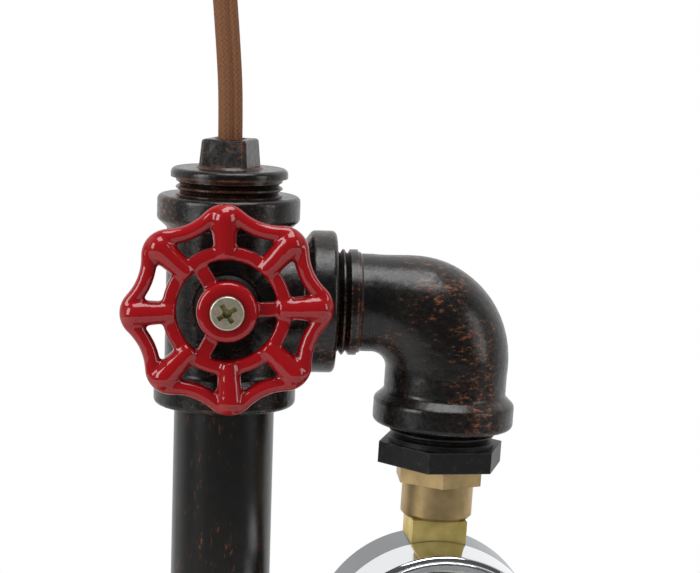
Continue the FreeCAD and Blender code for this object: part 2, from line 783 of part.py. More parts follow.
def bore_tee(body, lower, upper, branch):
    """Each mouth is (diameter, depth)."""
    run, reach, core = size.run_reach, size.fitting_reach, size.core_dia / 2
    low, high, side = [dia / 2 for dia, depth in (lower, upper, branch)]
    low_end, high_end, side_end = run - lower[1], run - upper[1], reach - branch[1]
    turned(body, outline(body, [
        (0, -run), (low, -run), (low, -low_end), (core, -low_end),
        (core, high_end), (high, high_end), (high, run), (0, run)]), cut=True)
    return turned(body, outline(body, [
        (0, 0), (0, core), (side_end, core), (side_end, side), (reach, side), (reach, 0)]),
        "H_Axis", cut=True)


def grub_holes(body, sides, backwards=False):
    """Holes for grub screws, at the back of the mouths that hold a tube."""
    holes = [(0, grub_height(side), size.grub_dia) for side in sides]
    padded(body, circles(body, holes, "XZ_Plane"), size.band_dia / 2, cut=True, backwards=backwards)


def rings_behind(feature, mouths, depth, dia=None):
    """Edges that are circles at a depth behind a mouth, as wide as the body there or as a diameter.

    A mouth is its middle, the direction into the fitting, and the diameter of the body behind it.
    """
    def wanted(edge):
        for middle, inwards, body_dia in mouths:
            place = middle + inwards * number(depth)
            if is_ring(edge, (dia or body_dia) / 2) and edge.Curve.Center.distanceToPoint(place) < 1e-4:
                return True
        return False
    return edges_where(feature, wanted)


def round_bands(body, feature, mouths):
    """Round the rim of each band, and blend both ends of the slope behind it."""
    rims = rings_behind(feature, mouths, 0, size.band_dia)
    rounded = dressed(body, "Fillet", feature, rims, size.band_round)
    crests = rings_behind(rounded, mouths, size.band_width, size.band_dia)
    feet = rings_behind(rounded, mouths, size.band_width + size.band_taper)
    return dressed(body, "Fillet", rounded, crests + feet, size.band_blend)


def tee_mouths():
    """Middle, direction inwards and body diameter at the three mouths of a tee."""
    run, reach = Z_AXIS * number(size.run_reach), X_AXIS * number(size.fitting_reach)
    return (
        (-run, Z_AXIS, size.tee_body_dia),
        (run, -Z_AXIS, size.tee_body_dia),
        (reach, -X_AXIS, size.tee_neck_dia),
    )


def upper_tee():
    """Bored at the front for the dimmer's bush, a little above its own centre."""
    body = new_body("upper_tee", (0, 0, size.upper_tee_height))
    blank_tee(body)
    boss = circles(body, [(0, size.dimmer_rise, size.boss_dia)], "XZ_Plane")
    padded(body, boss, size.boss_reach)
    threaded, plain = (size.thread_dia, size.socket_depth), (size.tube_dia, size.tube_seat)
    bored = bore_tee(body, plain, threaded, threaded)
    round_bands(body, bored, tee_mouths())
    grub_holes(body, [-1])
    bush = circles(body, [(0, size.dimmer_rise, size.dimmer_bush_dia)], "XZ_Plane")
    padded(body, bush, size.boss_reach, cut=True, backwards=True)


def lower_tee():
    """Its branch points the other way, so it is half a turn round, and its grub holes come first."""
    body = new_body("lower_tee", (0, 0, size.lower_tee_height), Rotation(Z_AXIS, 180))
    blank_tee(body)
    threaded, plain = (size.thread_dia, size.socket_depth), (size.tube_dia, size.tube_seat)
    bored = bore_tee(body, plain, plain, threaded)
    round_bands(body, bored, tee_mouths())
    grub_holes(body, (-1, 1), backwards=True)


def bend_width(share):
    """Diameter of the elbow's body at a share of its bend, from 0 at the arm to 1 at the leg.

    Outside the bend the body runs straight on to an arc of the radius elbow_round, so it is fuller
    there than a bend about the crotch alone. The arc's centre is across and up from the crotch's.
    """
    if share in (0, 1):
        return size.elbow_body_dia if share else size.elbow_neck_dia
    across = size.elbow_crotch + size.elbow_body_dia - size.elbow_round
    up = size.elbow_crotch + size.elbow_neck_dia - size.elbow_round
    angle = math.pi / 2 * share
    along = across * math.sin(angle) + up * math.cos(angle)
    within = size.elbow_round * size.elbow_round - across * across - up * up
    return along + root(along * along + within) - size.elbow_crotch


def bend_sections(body, bend, bores=None):
    """Circles round the elbow's bend, to loft its body, or a bore from one diameter to another."""
    steps = 6
    sections = []
    for step in range(steps + 1):
        share = step / steps
        turn = Rotation(X_AXIS, 90 * share + 1)
        sketch = new_sketch(body, "YZ_Plane", (0, -bend_drop, -bend_reach), turn)
        sketch.setExpression(".AttachmentOffset.Rotation.Angle", f"{bend.text} * {share} * 1deg")
        width = bend_width(share)
        diameter = bores[0] + (bores[1] - bores[0]) * share if bores else width
        sections.append(add_circles(sketch, [(0, size.elbow_crotch + width / 2, diameter)]))
    return sections


def leg_outline(body, points, lean):
    """A sketch in the plane of the bend, with its Y axis up the elbow's leg."""
    x = -bend_reach + bend_reach * cosine(lean)
    z = -bend_drop - bend_reach * sine(lean)
    return outline(body, points, offset=(x, z, 0), turn=Rotation(Z_AXIS, -number(lean)))


def street_elbow(name, base, rotation, lean):
    """Origin where the two axes of a square bend cross. Male end towards -X, mouth towards -Z."""
    body = new_body(name, base, rotation)
    thread, neck, trunk = size.thread_dia / 2, size.elbow_neck_dia / 2, size.elbow_body_dia / 2
    band, core, bore = size.band_dia / 2, size.core_dia / 2, size.elbow_male_bore / 2
    mouth, bend = size.fitting_reach - size.arm_reach, lean + 90
    tip, start, lip = mouth - size.thread_seat, mouth + size.elbow_start, neck + size.elbow_lip
    lip_end = start + size.elbow_lip_width
    shown = swap(thread_rings(mouth, size.elbow_start, thread))
    turned(body, outline(body, [(tip, 0), (tip, thread)] + shown + [
        (start, thread), (start, lip), (lip_end, lip), (lip_end + size.elbow_lip, neck),
        (-bend_reach, neck), (-bend_reach, 0)]), "H_Axis")
    lofted(body, bend_sections(body, bend))
    band_foot = size.band_width - elbow_leg
    slope_foot = band_foot + size.band_taper
    turned(body, leg_outline(body, [
        (0, 0), (trunk, 0), (trunk, slope_foot), (band, band_foot), (band, -elbow_leg),
        (0, -elbow_leg)], lean))
    turned(body, outline(body, rectangle(tip, -bend_reach, 0, bore)), "H_Axis", cut=True)
    lofted(body, bend_sections(body, bend, (size.elbow_male_bore, size.core_dia)), cut=True)
    shoulder = size.socket_depth - elbow_leg
    bored = turned(body, leg_outline(body, [
        (0, 0), (core, 0), (core, shoulder), (thread, shoulder), (thread, -elbow_leg),
        (0, -elbow_leg)], lean), cut=True)
    reach, drop, leg = map(number, (bend_reach, bend_drop, elbow_leg))
    leaning = Rotation(Y_AXIS, number(lean))
    face = Vector(-reach, 0, -drop) + leaning.multVec(Vector(reach, 0, -leg))
    round_bands(body, bored, [(face, leaning.multVec(Z_AXIS), size.elbow_body_dia)])


def elbows():
    """One hangs the gauge, the other is turned round and holds the lamp."""
    street_elbow("gauge_elbow", (size.arm_reach, 0, size.upper_tee_height), Rotation(), size.gauge_lean)
    straight = size.gauge_lean * 0
    lamp_side = (-size.arm_reach, 0, size.lower_tee_height)
    street_elbow("lamp_elbow", lamp_side, Rotation(Y_AXIS, 180), straight)


def hex_bushing(body, bore):
    """Screws up into a mouth whose face is at z 0. The hexagon hangs below."""
    thread, root_end = size.thread_dia / 2, -size.bushing_neck
    turned(body, outline(body, [(0, size.thread_seat), (thread, size.thread_seat)]
           + thread_rings(0, size.bushing_neck, thread, -1) + [(thread, root_end), (0, root_end)]))
    flats = outline(body, hexagon(size.bushing_flats), "XY_Plane", (0, 0, root_end))
    padded(body, flats, size.bushing_hex_height, backwards=True)
    hole = rectangle(0, bore / 2, -bushing_height, size.thread_seat)
    turned(body, outline(body, hole), cut=True)


def bushings():
    """One hangs in the gauge's elbow, the other stands in the lamp's."""
    hex_bushing(leg_body("gauge_bushing", 0, size.bushing_turn), size.gauge_thread_dia)
    lamp_mouth = (-size.arm_reach, 0, lamp_face)
    hex_bushing(new_body("lamp_bushing", lamp_mouth, Rotation(X_AXIS, 180)), size.nipple_dia)


# ---------------------------------------------------------------- plug at the top, cord bush and lead


def cut_square(side, corner):
    """A square with its corners cut off."""
    half, near = side / 2, side / 2 - corner
    return [
        (near, -half), (half, -near), (half, near), (near, half),
        (-near, half), (-half, near), (-half, -near), (-near, -half)]


def top_plug():
    """Origin on the tee's upper face."""
    body = new_body("top_plug", (0, 0, plug_seat))
    thread, rim, collar = size.thread_dia / 2, size.plug_flange_dia / 2, size.plug_collar_dia / 2
    under, top = size.plug_thread_shown, size.plug_thread_shown + size.plug_flange_height
    collar_top = top + size.plug_collar_height
    blank = turned(body, outline(body, [(0, -size.thread_seat), (thread, -size.thread_seat)]
                   + thread_rings(0, under, thread)
                   + [(thread, under), (rim, under), (rim, top), (collar + size.plug_collar_height, top),
                      (collar, collar_top), (0, collar_top)]))
    shoulder = edges_where(blank, lambda edge: is_ring(edge, rim, top))
    dressed(body, "Fillet", blank, shoulder, size.plug_flange_round)
    square = outline(
        body, cut_square(size.plug_square, size.plug_square_chamfer), "XY_Plane", (0, 0, top),
        Rotation(Z_AXIS, number(size.plug_square_turn)))
    post = padded(body, square, size.plug_square_height, draft=-size.plug_square_draft)
    crown = edges_where(post, lambda edge: abs(edge.BoundBox.ZMin - number(plug_top)) < 1e-4)
    dressed(body, "Fillet", post, crown, size.plug_square_round)
    bore, hole, roof = size.bush_dia / 2, size.cord_hole_dia / 2, plug_top - size.bush_drop
    turned(body, outline(body, [
        (0, -size.thread_seat), (bore, -size.thread_seat), (bore, roof), (hole, roof), (hole, plug_top),
        (0, plug_top)]), cut=True)


def cord_bush():
    """Fills the plug below its cord hole, with a hole for the lead."""
    body = new_body("cord_bush", (0, 0, cord_exit - size.bush_height))
    rings = [(0, 0, size.bush_dia), (0, 0, size.lead_dia)]
    padded(body, circles(body, rings), size.bush_height)


def lead_wire():
    """From the cord bush, behind the dimmer, down the column, out of the lower tee and up to the lamp."""
    exit_z, lamp_x, arm = number(cord_exit), -number(size.arm_reach), number(size.lower_tee_height)
    behind = number(size.dimmer_back + size.lead_clearance + size.lead_dia / 2)
    bush_foot = cord_exit - size.bush_height
    above = wheel_height + (size.dimmer_dia + size.lead_dia) / 2
    below = wheel_height - (size.dimmer_dia + size.lead_dia) / 2
    insert = number(holder_foot + skirt_foot)
    route = [
        (0, 0, exit_z), (0, 0, number(bush_foot - size.lead_dia)), (0, behind, number(above)),
        (0, behind, number(below)), (0, 0, number(below - 3 * size.lead_dia)), (0, 0, arm),
        (lamp_x, 0, arm), (lamp_x, 0, insert)]
    tight, column_bend, elbow_bend = map(number, (1.5 * size.lead_dia, 0.6 * size.core_dia, bend_drop))
    fixed = {1: tight, 2: tight, 3: tight, 4: tight, 5: column_bend, 6: elbow_bend}
    tube_along("lead_wire", route, size.lead_dia, fixed)


# ---------------------------------------------------------------- brass adaptor and pressure gauge

dial_front = size.dial_back + size.dial_thickness
glass_front = size.case_front + size.bezel_depth - size.bezel_lip
glass_back = glass_front - size.glass_thickness
glass_radius = size.glass_dia / 2
bezel_radius = case_radius - size.case_shoulder
stem_end = case_radius - size.stem_inside
plate_front = size.movement_start + size.movement_depth
link_back = size.movement_start + size.movement_plate + size.layer_gap
link_front = link_back + size.link_thickness
sector_back = link_front + size.layer_gap
sector_front = sector_back + size.sector_thickness
sector_radius = size.pinion_radius * size.sector_ratio
sector_pivot = sector_radius + size.pinion_radius
sector_rest = size.sector_travel / 2
tail_x = -size.sector_tail * sine(sector_rest)
tail_y = -sector_pivot - size.sector_tail * cosine(sector_rest)
tip_x = root(size.bourdon_radius * size.bourdon_radius - tail_y * tail_y)
pin_clear_dia = size.arbor_dia + 2 * size.arbor_clearance


def brass_adaptor():
    """Origin at the top of its hexagon."""
    body = leg_body("brass_adaptor", bushing_height, size.adaptor_turn)
    thread, sleeve, edge = size.gauge_thread_dia / 2, size.adaptor_sleeve_dia / 2, size.adaptor_chamfer
    length, hexagon_foot, foot = size.gauge_thread_length, -size.adaptor_hex_height, -adaptor_height
    turned(body, outline(body, [
        (0, length), (thread, length), (thread, 0), (sleeve, 0), (sleeve, foot + edge),
        (sleeve - edge, foot), (0, foot)]))
    flats = outline(body, hexagon(size.adaptor_flats), "XY_Plane")
    padded(body, flats, size.adaptor_hex_height, backwards=True)
    bore, socket_end = size.adaptor_bore / 2, foot + length
    turned(body, outline(body, [
        (0, length), (bore, length), (bore, socket_end), (thread, socket_end), (thread, foot),
        (0, foot)]), cut=True)
    return hexagon_foot


def case_screw_places(y):
    """Both screws in the gauge's frame, at a height above its centre."""
    return [(side * size.case_screw_spread, y) for side in (-1, 1)]


def case_screw_height():
    """Above the gauge's centre, in the middle of the stem's part inside the case."""
    return case_radius - size.stem_inside / 2


def gauge_stem():
    """Origin at the foot of the adaptor."""
    body = leg_body("gauge_stem", bushing_height + adaptor_height, size.gauge_turn)
    half, thread, length = size.stem_square / 2, size.gauge_thread_dia / 2, size.gauge_thread_length
    drop = size.stem_exposed + size.stem_inside
    padded(body, outline(body, rectangle(-half, half, -half, half), "XY_Plane"), drop, backwards=True)
    turned(body, outline(body, rectangle(0, thread, 0, length)))
    blind_end = -drop + size.stem_bore
    turned(body, outline(body, rectangle(0, size.stem_bore / 2, blind_end, length)), cut=True)
    height = case_screw_height() - case_radius - size.stem_exposed
    holes = [(x, y, size.case_screw_dia) for x, y in case_screw_places(height)]
    padded(body, circles(body, holes, "XZ_Plane"), half, cut=True)


def gauge_case():
    """A drum closed at the back and turned in at the front, with a square hole for the stem."""
    body = gauge_body("gauge_case")
    back, front, wall, bend = -size.case_back, size.case_front, size.case_wall, size.case_round
    flat, inner, turn_in = case_radius - bend, case_radius - wall, front - size.case_shoulder
    turned(body, outline(body, [
        (0, back), (flat, back), round_to((case_radius, back + bend), (flat, back + bend)),
        (case_radius, turn_in), round_to((bezel_radius, front), (bezel_radius, turn_in)),
        (glass_radius, front), (glass_radius, front - wall), (bezel_radius, front - wall),
        round_to((inner, turn_in), (bezel_radius, turn_in)), (inner, back + bend),
        round_to((flat, back + wall), (flat, back + bend)), (0, back + wall)]))
    half = size.stem_square / 2
    padded(body, outline(body, rectangle(-half, half, -half, half)), case_radius, cut=True)
    holes = [(x, y, size.case_screw_dia) for x, y in case_screw_places(case_screw_height())]
    padded(body, circles(body, holes, offset=(0, 0, back + wall)), 2 * wall, cut=True)


def case_screws():
    """Two alike, through the back of the case into the stem."""
    head, height = size.case_screw_head, size.case_screw_dia / 2
    screw = slotted_screw(head, height, size.case_screw_dia, size.case_back - size.case_wall)
    places = [(x, y, -size.case_back) for x, y in case_screw_places(case_screw_height())]
    frame = gauge_body_placement()
    plain_part("case_screws", copies(screw, places, Rotation(X_AXIS, 180)), frame)


def gauge_body_placement():
    """Where the pieces of the gauge stand, for those not built as bodies."""
    facing = leg_rotation(size.gauge_turn) * FACE_FORWARD
    return Placement(Vector(*map(number, leg_place(gauge_centre_station))), facing)


def gauge_bezel():
    """A ring on the case's front edge that holds the glass."""
    body = gauge_body("gauge_bezel")
    front, back, bend = size.case_front + size.bezel_depth, size.case_front, size.bezel_round
    window = size.bezel_window / 2
    turned(body, outline(body, [
        (glass_radius, back), (bezel_radius, back), (bezel_radius, front - bend),
        round_to((bezel_radius - bend, front), (bezel_radius - bend, front - bend)),
        (window, front), (window, glass_front), (glass_radius, glass_front)]))


def gauge_window():
    """The glass, the rubber seal behind it and the ring that holds both off the dial."""
    inner, seal_back = glass_radius - size.spacer_wall, glass_back - size.seal_thickness
    stack = (
        ("gauge_glass", 0, glass_back, glass_front),
        ("glass_seal", inner, seal_back, glass_back),
        ("dial_spacer", inner, dial_front, seal_back),
    )
    for name, inside, back, front in stack:
        body = gauge_body(name)
        turned(body, outline(body, rectangle(inside, glass_radius, back, front)))


def gauge_dial():
    """A disc with a hole for the pointer's arbor."""
    body = gauge_body("gauge_dial")
    hole = size.arbor_dia
    turned(body, outline(body, rectangle(hole, glass_radius, size.dial_back, dial_front)))


def arbor_holes(body, foot, depth):
    """Running holes through both plates for the pinion and the sector."""
    holes = [(0, 0, pin_clear_dia), (0, -sector_pivot, pin_clear_dia)]
    padded(body, circles(body, holes, offset=(0, 0, foot)), depth, cut=True, backwards=True)


def movement_frame():
    """Two plates on four pillars, hung from the stem, and two studs that carry the dial."""
    body = gauge_body("movement_frame")
    side, plate, start = size.movement_width / 2, size.movement_plate, size.movement_start
    foot, pillar = -sector_pivot - 2 * size.arbor_dia, 2 * size.arbor_dia
    shape = rectangle(-side, side, foot, stem_end)
    padded(body, outline(body, shape, "XY_Plane", (0, 0, start)), plate)
    left, right = pillar - side, side - pillar
    places = [
        (left, foot + pillar), (right, foot + 3 * pillar),
        (left, stem_end - pillar), (right, stem_end - pillar)]
    pillars = circles(body, [(x, y, pillar) for x, y in places], offset=(0, 0, start))
    padded(body, pillars, size.movement_depth)
    padded(body, outline(body, shape, "XY_Plane", (0, 0, plate_front - plate)), plate)
    studs = circles(body, [(x, y, pillar) for x, y in places[1:3]], offset=(0, 0, plate_front))
    padded(body, studs, size.dial_back - plate_front)
    arbor_holes(body, start, size.movement_depth)


def bourdon_tube():
    """A hollow C from the stem's side to the tip, which has a pin for the link."""
    body = gauge_body("bourdon_tube")
    half_width, wall = size.bourdon_width / 2, size.bourdon_width / 5
    inner, outer = size.bourdon_radius - half_width, size.bourdon_radius + half_width
    back, front = -size.bourdon_back, -size.bourdon_back + size.bourdon_depth
    start, cap = number(size.bourdon_start), number(size.bourdon_cap)
    tip = 360 - math.degrees(math.acos(number(tip_x) / number(size.bourdon_radius)))
    turn = Rotation(Y_AXIS, start)
    tube_shape = outline(body, rectangle(inner, outer, back, front), turn=turn)
    turned(body, tube_shape, angle=tip - start + cap)
    hollow = rectangle(inner + wall, outer - wall, back + wall, front - wall)
    turned(body, outline(body, hollow, turn=turn), cut=True, angle=tip - start - cap)
    pin = circles(body, [(tip_x, tail_y, size.tip_pin_dia)], offset=(0, 0, front - size.bourdon_depth / 2))
    padded(body, pin, link_front + size.layer_gap / 2 + size.bourdon_depth / 2 - front)
    half = size.stem_square / 2
    stem = outline(body, rectangle(-half, half, stem_end, case_radius), "XY_Plane", (0, 0, -half))
    padded(body, stem, size.stem_square, cut=True, backwards=True)


def sector():
    """The link drives it by its tail, and it turns the pinion. Its pitch surface stands for teeth."""
    body = gauge_body("sector")
    arc = sector_radius - size.pitch_clearance
    narrow, wide = 0.9 * size.arbor_dia, 1.3 * size.arbor_dia
    x, y = arc * sine(size.sector_half_angle), arc * cosine(size.sector_half_angle)
    tail = -size.sector_tail
    turn = Rotation(Z_AXIS, -number(sector_rest))
    plate = outline(body, [
        (-narrow, tail - narrow), (narrow, tail - narrow), (wide, 0), (x, y), round_to((-x, y), (0, 0)),
        (-wide, 0)], "XY_Plane", (0, -sector_pivot, sector_back), turn)
    padded(body, plate, size.sector_thickness)
    arbor_foot = size.movement_start - size.layer_gap
    arbor = circles(body, [(0, -sector_pivot, size.arbor_dia)], offset=(0, 0, arbor_foot))
    padded(body, arbor, size.movement_depth + 2 * size.layer_gap)
    pin = circles(body, [(tail_x, tail_y, size.arbor_dia)], offset=(0, 0, sector_back))
    padded(body, pin, sector_back - link_back, backwards=True)


def bourdon_link():
    """From the sector's tail to the pin on the tube's tip, which stays in its slot."""
    body = gauge_body("bourdon_link")
    half, travel = size.link_width / 2, 2 * size.sector_tail * sine(sector_rest)
    opening = size.tip_pin_dia / 2 + size.slot_clearance
    end = tip_x + opening + size.link_thickness
    strip = rectangle(tail_x - half, end, tail_y - half, tail_y + half)
    padded(body, outline(body, strip, "XY_Plane", (0, 0, link_back)), size.link_thickness)
    hole = circles(body, [(tail_x, tail_y, pin_clear_dia)], offset=(0, 0, link_back))
    padded(body, hole, size.link_thickness, cut=True, backwards=True)
    slot = rectangle(tip_x - travel - opening, tip_x + opening, tail_y - opening, tail_y + opening)
    opened = outline(body, slot, "XY_Plane", (0, 0, link_back))
    padded(body, opened, size.link_thickness, cut=True, backwards=True)


def pinion():
    """The pointer's arbor, with the pinion's pitch surface between the plates."""
    body = gauge_body("pinion")
    arbor, wheel = size.arbor_dia / 2, size.pinion_radius - size.pitch_clearance
    foot = size.movement_start - size.layer_gap
    top = dial_front + size.pointer_gap + 2 * size.pointer_thickness
    low, high = sector_back - size.layer_gap, sector_front + size.layer_gap
    turned(body, outline(body, [
        (0, foot), (arbor, foot), (arbor, low), (wheel, low), (wheel, high), (arbor, high),
        (arbor, top), (0, top)]))


def pointer():
    """Pressed on the arbor. The blade points along X before it is turned to its rest."""
    body = gauge_body("pointer", size.pointer_rest)
    hub, back, blade = size.pointer_hub_dia, dial_front + size.pointer_gap, size.pointer_thickness
    root_half, tip_half, tail = hub / 4, blade / 2, -size.pointer_tail
    padded(body, circles(body, [(0, 0, hub)], offset=(0, 0, back)), 3 * blade)
    end = size.pointer_length
    shape = [(tail, -root_half), (end, -tip_half), (end, tip_half), (tail, root_half)]
    padded(body, outline(body, shape, "XY_Plane", (0, 0, back + blade)), blade)
    bore = circles(body, [(0, 0, size.arbor_dia)], offset=(0, 0, back))
    padded(body, bore, 2 * blade, cut=True, backwards=True)


# ---------------------------------------------------------------- dimmer and handwheel

running_dia = size.spindle_dia + 2 * size.spindle_clearance
nut_front = size.boss_reach + size.nut_height
cavity_back = size.dimmer_wall - size.dimmer_back
spindle_end = size.hub_front - size.dimmer_wall / 4


def dimmer():
    """A closed can behind the bush, with a running hole for the spindle."""
    body = wheel_body("dimmer_body")
    outside, wall = size.dimmer_dia / 2, size.dimmer_wall
    turned(body, outline(body, rectangle(0, outside, -size.dimmer_back, size.dimmer_front)))
    cavity_front = size.dimmer_front - wall
    turned(body, outline(body, rectangle(0, outside - wall, cavity_back, cavity_front)), cut=True)
    hole = rectangle(0, running_dia / 2, cavity_front, size.dimmer_front)
    turned(body, outline(body, hole), cut=True)


def dimmer_bush():
    """Carries the spindle through the tee's boss."""
    body = wheel_body("dimmer_bush")
    rings = [(0, 0, size.dimmer_bush_dia), (0, 0, running_dia)]
    length = nut_front + size.bush_proud - size.dimmer_front
    padded(body, circles(body, rings, offset=(0, 0, size.dimmer_front)), length)


def gland_nut():
    """Holds the bush from outside."""
    body = wheel_body("gland_nut")
    bore, outside = size.dimmer_bush_dia / 2, size.nut_dia / 2
    corner = size.nut_height / 4
    turned(body, outline(body, [
        (bore, size.boss_reach), (outside, size.boss_reach), (outside, nut_front - corner),
        (outside - corner, nut_front), (bore, nut_front)]))


def spindle():
    """Round in the dimmer, square in the handwheel, and drilled for the wheel's screw."""
    body = wheel_body("spindle", size.wheel_turn)
    foot = cavity_back + size.dimmer_wall / 2
    padded(body, circles(body, [(0, 0, size.spindle_dia)], offset=(0, 0, foot)), spindle_end - foot)
    half, beyond = size.spindle_square / 2, size.spindle_dia
    around = new_sketch(body, "XY_Plane", (0, 0, spindle_end))
    add_outline(around, rectangle(-beyond, beyond, -beyond, beyond))
    add_outline(around, rectangle(-half, half, -half, half))
    padded(body, around, spindle_end - size.hub_back, cut=True)
    hole = circles(body, [(0, 0, size.wheel_screw_dia)], offset=(0, 0, spindle_end))
    padded(body, hole, spindle_end - size.hub_front + size.wheel_screw_length, cut=True)


def wiper():
    """The disc that turns with the spindle inside the dimmer."""
    body = wheel_body("wiper", size.wheel_turn)
    middle = (cavity_back + size.dimmer_front - size.dimmer_wall) / 2
    rings = [(0, 0, size.wiper_dia), (0, 0, size.spindle_dia)]
    foot = middle - size.wiper_thickness / 2
    padded(body, circles(body, rings, offset=(0, 0, foot)), size.wiper_thickness)


def finger(body):
    """A round bar along X, over the ring and out to the rim, thicker towards its ball end.

    The ball stops a tenth of its radius short of the rim's edge.
    """
    start, foot, tip = size.ring_inner_dia / 2, size.finger_dia / 2, size.fingertip_dia / 2
    corner, middle = foot / 2, size.wheel_radius - 1.1 * tip
    bar = outline(body, [
        (start, 0), (start, foot - corner),
        round_to((start + corner, foot), (start + corner, foot - corner)),
        (middle, tip), round_to((middle + tip, 0), (middle, 0))], offset=(0, size.wheel_plane, 0))
    return turned(body, bar, "H_Axis")


def rim_arc(body, direction, centre, radius, turn):
    """A stretch of the rim's bar, bent about an axis at a distance from the wheel's middle.

    A negative radius puts the bar on the near side of that axis. It turns as far to both sides.
    """
    place = (centre * cosine(direction), size.wheel_plane, -(centre * sine(direction)))
    sketch = new_sketch(body, "XZ_Plane", place, Rotation(Y_AXIS, number(direction)))
    sketch.setExpression(".AttachmentOffset.Rotation.Axis.y", "1")
    sketch.setExpression(".AttachmentOffset.Rotation.Angle", f"{direction.text} * 1deg")
    add_circles(sketch, [(radius, 0, size.rim_dia)])
    return turned(body, sketch, angle=2 * turn, both_ways=True)


def rim_wave(body):
    """One arc round a finger's end, and one between two fingers that dips and meets it smoothly.

    Both centres lie on one line through the point where the arcs meet, which gives the second radius.
    """
    between = Size(180 / number(size.finger_count), f"(180 / {size.finger_count.text})")
    crest, small, along = size.wheel_radius - size.rim_dia / 2, size.rim_crest, cosine(between)
    valley, inside = crest - size.rim_dip, crest - small
    spread = inside * inside + valley * valley - small * small - 2 * inside * valley * along
    large = spread / (2 * (small - valley + inside * along))
    outside = valley + large
    turn = arc_sine(outside * sine(between) / (small + large))
    return [
        rim_arc(body, between * 0, inside, small, turn),
        rim_arc(body, between, outside, -large, turn - between)]


def handwheel():
    """Hub, flat webs, flat ring, fingers and a wavy rim."""
    body = wheel_body("handwheel", size.wheel_turn)
    hub, plane = size.hub_dia / 2, size.wheel_plane
    blank = turned(body, outline(body, rectangle(0, hub, size.hub_back, size.hub_front)))
    face = edges_where(blank, lambda edge: is_ring(edge, hub, size.hub_front))
    dressed(body, "Fillet", blank, face, size.hub_round)
    ring_inner, ring_outer = size.ring_inner_dia / 2, size.ring_outer_dia / 2
    web_end, half = ring_inner + size.ring_thickness / 4, size.web_width / 2
    web_shape = rectangle(size.spindle_square, web_end, -half, half)
    middle = outline(body, web_shape, "XY_Plane", (0, 0, plane))
    web = padded(body, middle, size.web_thickness, both_ways=True)
    repeated_round(body, [web], size.web_count)
    low, high = plane - size.ring_thickness / 2, plane + size.ring_thickness / 2
    ring = rounded_rectangle(ring_inner, ring_outer, low, high, size.ring_thickness / 4)
    turned(body, outline(body, ring))
    repeated_round(body, [finger(body)] + rim_wave(body), size.finger_count)
    square = size.spindle_square / 2
    shape = rectangle(-square, square, -square, square)
    through = outline(body, shape, "XY_Plane", (0, 0, size.hub_front))
    body.Tip = padded(body, through, size.hub_front - size.hub_back, cut=True)


def cross_shape(reach, half):
    """Outline points of a cross with equal arms."""
    return [
        (half, -half), (reach, -half), (reach, half), (half, half), (half, reach), (-half, reach),
        (-half, half), (-reach, half), (-reach, -half), (-half, -half), (-half, -reach), (half, -reach)]


def wheel_screw():
    """A flat crown with a cross recess, deeper in the middle."""
    body = wheel_body("wheel_screw", size.wheel_screw_turn)
    head, shank, top = size.wheel_screw_head / 2, size.wheel_screw_dia / 2, size.wheel_screw_head_height
    foot, seat = size.hub_front - size.wheel_screw_length, size.hub_front
    blank = turned(body, outline(body, [
        (0, foot), (shank, foot), (shank, seat), (head, seat), (head, seat + top), (0, seat + top)]))
    crown = edges_where(blank, lambda edge: is_ring(edge, head, seat + top))
    dressed(body, "Fillet", blank, crown, top / 3)
    shape = cross_shape(size.wheel_recess / 2, size.wheel_recess_slot / 2)
    padded(body, outline(body, shape, "XY_Plane", (0, 0, seat + top)), top * 0.8, cut=True)
    pit = circles(body, [(0, 0, 2 * size.wheel_recess_slot)], offset=(0, 0, seat + top))
    padded(body, pit, top * 1.6, cut=True)


# ---------------------------------------------------------------- lampholder and bulb


def lamp_nipple():
    """Threaded tube from the bushing into the lampholder."""
    body = lamp_body("lamp_nipple", size.nipple_shown - size.nipple_length)
    padded(body, circles(body, [(0, 0, size.nipple_dia), (0, 0, size.nipple_bore)]), size.nipple_length)


def lamp_locknut():
    """Between the bushing and the lampholder."""
    body = lamp_body("lamp_locknut", -size.locknut_height)
    padded(body, outline(body, hexagon(size.locknut_flats), "XY_Plane"), size.locknut_height)
    thread = circles(body, [(0, 0, size.nipple_dia)])
    padded(body, thread, size.locknut_height, cut=True, backwards=True)


def lampholder_cap():
    """The lower cup, screwed down by its middle."""
    body = lamp_body("lampholder_cap")
    outside, wall, bend = size.holder_dia / 2, size.holder_wall, size.holder_cap_round
    flat, hole, top = outside - bend, size.nipple_dia / 2, size.holder_cap_height
    turned(body, outline(body, [
        (hole, 0), (flat, 0), round_to((outside, bend), (flat, bend)), (outside, top),
        (skirt_radius, top), (skirt_radius, bend), round_to((flat, wall), (flat, bend)), (hole, wall)]))


def lampholder_skirt():
    """The upper sleeve, which stands in the cup."""
    body = lamp_body("lampholder_skirt")
    wall, top = size.holder_wall, skirt_foot + size.skirt_height
    turned(body, outline(body, [
        (insert_radius, skirt_foot), (skirt_radius, skirt_foot), (skirt_radius, top - wall / 2),
        (skirt_radius - wall / 2, top), (insert_radius, top)]))


def lampholder_insert():
    """Porcelain floor of the holder, with holes for its terminals."""
    body = lamp_body("lampholder_insert")
    padded(body, circles(body, [(0, 0, 2 * insert_radius)], offset=(0, 0, skirt_foot)), size.insert_height)
    holes = [(x, 0, size.terminal_dia) for x in (-size.terminal_spread, size.terminal_spread)]
    depth = size.insert_height * 2 / 3
    padded(body, circles(body, holes, offset=(0, 0, skirt_foot)), depth, cut=True, backwards=True)


def terminal_screws():
    """Two alike, up into the underside of the insert."""
    head = slotted_screw(
        1.8 * size.terminal_dia, 0.6 * size.terminal_dia, size.terminal_dia, size.insert_height * 2 / 3)
    spread = (-size.terminal_spread, size.terminal_spread)
    places = [(x - size.arm_reach, 0, holder_foot + skirt_foot) for x in spread]
    plain_part("terminal_screws", copies(head, places, Rotation(X_AXIS, 180)))


